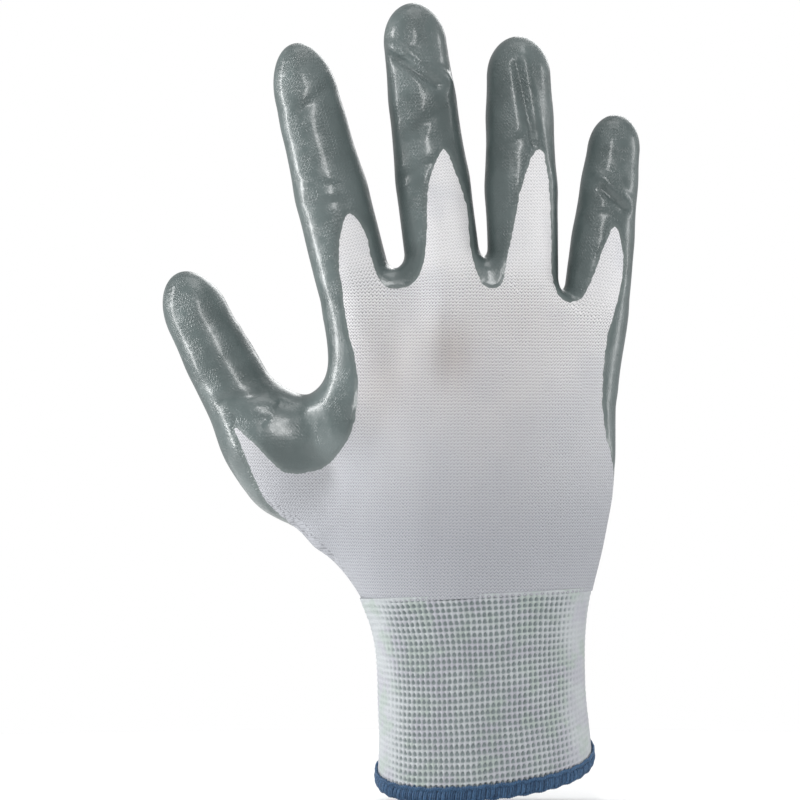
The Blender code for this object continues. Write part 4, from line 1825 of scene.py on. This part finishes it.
@dataclass(frozen=True)
class CuffFinish:
    """White ribs over grey-green hollows, where the dark elastic side of the knit shows."""

    light: tuple[float, float, float] = (0.46, 0.485, 0.50)
    cool: tuple[float, float, float] = (0.43, 0.435, 0.475)
    green: tuple[float, float, float] = (0.40, 0.45, 0.43)
    pit: tuple[float, float, float] = (0.25, 0.29, 0.292)
    strands: int = 4  # in each stitch
    relief: float = 0.4 * MM
    relief_strength: float = 0.55

    def make(self) -> bpy.types.Material:
        """Build the material.

        Returns:
            The material.
        """
        w = Wiring("cuff_knit_finish")
        home = w.attribute("home", vector=True)
        patch = w.ease(w.noise(home, 0.11, 2.0), 0.42, 0.62)
        other = w.ease(w.noise(home, 0.15, 2.0), 0.5, 0.68)
        yarn = w.mix(other, w.mix(patch, self.light, self.cool), self.green)
        fuzz = w.noise(home, 3.4, 3.0)
        depth = w.math("ADD", w.attribute("pit"), w.math("MULTIPLY", fuzz, 0.25))
        w.feed(w.shader.inputs["Base Color"], w.mix(w.ease(depth, 0.22, 0.85), yarn, self.pit))
        column = w.math("MULTIPLY", w.attribute("wale"), TURN * self.strands)
        strand = w.math("SINE", w.math("ADD", column, w.math("MULTIPLY", fuzz, 5.0)))
        height = w.math("ADD", fuzz, w.math("MULTIPLY", strand, 0.12))
        w.feed(w.shader.inputs["Normal"], w.bump(height, self.relief, self.relief_strength))
        w.fix(Roughness=0.88, Specular_IOR_Level=0.2, Sheen_Weight=0.15)
        return w.material


@dataclass(frozen=True)
class ThreadFinish:
    """Wound thread: each wrap a slightly different shade, with its fibres along it."""

    name: str
    dark: tuple[float, float, float]
    light: tuple[float, float, float]
    scale: float
    wrap_shade: float = 0.35  # how much one wrap's shade differs from another's
    relief: float = 0.5 * MM
    relief_strength: float = 0.6
    roughness: float = 0.62

    def make(self) -> bpy.types.Material:
        """Build the material.

        Returns:
            The material.
        """
        w = Wiring(self.name)
        home = w.attribute("home", vector=True)
        fibre = w.noise(home, self.scale, 3.0)
        shade = w.math("ADD", w.math("MULTIPLY", w.attribute("strand"), self.wrap_shade), fibre)
        w.feed(w.shader.inputs["Base Color"],
               w.mix(w.ease(shade, 0.35, 1.0), self.dark, self.light))
        w.feed(w.shader.inputs["Normal"], w.bump(fibre, self.relief, self.relief_strength))
        w.fix(Roughness=self.roughness, Specular_IOR_Level=0.3, Sheen_Weight=0.1)
        return w.material


# ------------------------------------------------------------------------------ the studio


@dataclass(frozen=True)
class Lamp:
    """A soft rectangular light that faces a point on the glove."""

    name: str
    place: tuple[float, float, float]
    size: tuple[float, float]
    power: float
    aim: tuple[float, float, float] = (-0.02, 0.0, 0.12)

    def build(self) -> None:
        """Add the light."""
        data = bpy.data.lights.new(self.name, "AREA")
        data.shape = "RECTANGLE"
        data.size, data.size_y = self.size
        data.energy = self.power
        lamp = bpy.data.objects.new(self.name, data)
        lamp.location = self.place
        away = Vector(self.aim) - Vector(self.place)
        lamp.rotation_euler = away.to_track_quat("-Z", "Y").to_euler()
        bpy.context.scene.collection.objects.link(lamp)


@dataclass(frozen=True)
class Studio:
    """A pale floor, soft light and a long lens square to the back of the hand."""

    middle: tuple[float, float] = (-25.07 * MM, 113.9 * MM)  # x and z at the picture's centre
    picture: float = 244.6 * MM  # what the picture's width takes in
    distance: float = 1.9
    sensor: float = 36.0
    floor_gap: float = 1.0 * MM
    floor_half: float = 0.42
    floor_sides: int = 96
    floor_tones: tuple[float, float] = (0.88, 0.92)
    ambient: tuple[float, float, float] = (0.98, 0.99, 1.0)
    ambient_strength: float = 0.46
    lamps: tuple[Lamp, ...] = (
        Lamp("rim_light", (-1.0, 0.02, 0.20), (0.16, 1.2), 12.5),
        Lamp("key_light", (-0.14, -1.25, 0.80), (0.22, 0.80), 8.8),
        Lamp("right_light", (0.95, 0.05, 0.20), (0.20, 0.9), 4.0),
        Lamp("back_light", (0.35, 1.2, 0.8), (0.8, 0.8), 6.0),
        Lamp("top_light", (0.0, -0.1, 1.6), (0.9, 0.9), 7.0),
    )

    def build(self) -> None:
        """Set the stage."""
        for lamp in self.lamps:
            lamp.build()
        self.camera()
        self.world()
        self.floor()

    def camera(self) -> None:
        """A long lens at the middle of the glove's back."""
        data = bpy.data.cameras.new("camera")
        data.sensor_width = self.sensor
        data.lens = self.sensor * self.distance / self.picture
        data.clip_start, data.clip_end = 0.01, 50.0
        camera = bpy.data.objects.new("camera", data)
        camera.location = (self.middle[0], -self.distance, self.middle[1])
        camera.rotation_euler = (math.pi / 2, 0.0, 0.0)
        bpy.context.scene.collection.objects.link(camera)
        bpy.context.scene.camera = camera

    def world(self) -> None:
        """Plain white all round, which lights the glove more softly than it looks."""
        world = bpy.data.worlds.new("studio")
        world.use_nodes = True
        nodes, links = world.node_tree.nodes, world.node_tree.links
        soft = nodes["Background"]
        soft.inputs["Color"].default_value = (*self.ambient, 1.0)
        soft.inputs["Strength"].default_value = self.ambient_strength
        seen = nodes.new("ShaderNodeBackground")
        seen.inputs["Color"].default_value = (1.0, 1.0, 1.0, 1.0)
        path = nodes.new("ShaderNodeLightPath")
        mix = nodes.new("ShaderNodeMixShader")
        links.new(path.outputs["Is Camera Ray"], mix.inputs[0])
        links.new(soft.outputs[0], mix.inputs[1])
        links.new(seen.outputs[0], mix.inputs[2])
        links.new(mix.outputs[0], nodes["World Output"].inputs["Surface"])
        bpy.context.scene.world = world
        bpy.context.scene.view_settings.view_transform = "Standard"

    def floor(self) -> None:
        """A round pale floor under the cuff."""
        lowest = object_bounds()[0][2] - self.floor_gap
        count = self.floor_sides
        angles = np.arange(count) / count * TURN
        ring = [(self.floor_half * math.cos(a), self.floor_half * math.sin(a), lowest)
                for a in angles]
        mesh = bpy.data.meshes.new("floor")
        mesh.from_pydata([(0.0, 0.0, lowest), *ring], [],
                         [(0, k + 1, (k + 1) % count + 1) for k in range(count)])
        w = Wiring("floor_finish")
        node = w.nodes.new("ShaderNodeTexCoord")
        grain = w.noise(node.outputs["Object"], 3.0, 2.0)
        dark, light = ((tone,) * 3 for tone in self.floor_tones)
        w.feed(w.shader.inputs["Base Color"], w.mix(grain, dark, light))
        w.fix(Roughness=0.8)
        mesh.materials.append(w.material)
        floor = bpy.data.objects.new("floor", mesh)
        bpy.context.scene.collection.objects.link(floor)
        floor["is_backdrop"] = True


BLUE_FINISH = ThreadFinish("blue_thread_finish", (0.012, 0.039, 0.088),
                           (0.050, 0.118, 0.225), 1.6)
YARN_FINISH = ThreadFinish("elastic_yarn_finish", (0.50, 0.52, 0.50), (0.72, 0.74, 0.72), 2.0)


def dress_yarn() -> None:
    """Give the cuff's elastic yarn, which keeps its own shape, its finish."""
    node = frame["nodes"]["cuff_elastic_yarn"]
    node.data.materials.clear()
    node.data.materials.append(YARN_FINISH.make())
    LOG.info("elastic yarn dressed")


def main() -> None:
    """Build the glove piece by piece, then the studio."""
    logging.basicConfig(level=logging.INFO, format="%(name)s: %(message)s")
    hand = HandForm()
    form = GloveForm(STALLS, THUMB, hand, ThumbBall(), SWELLINGS)
    glove = GloveSkin(form, DipLine(), knit=KnitFinish().make(), film=FilmFinish().make())
    glove.dress(glove.build())
    wrist = Wrist(hand)
    Cuff(wrist, material=CuffFinish().make()).build()
    Hem(wrist, material=BLUE_FINISH.make()).build()
    dress_yarn()
    Studio().build()
    LOG.info("studio set")


if __name__ == "__main__":
    main()
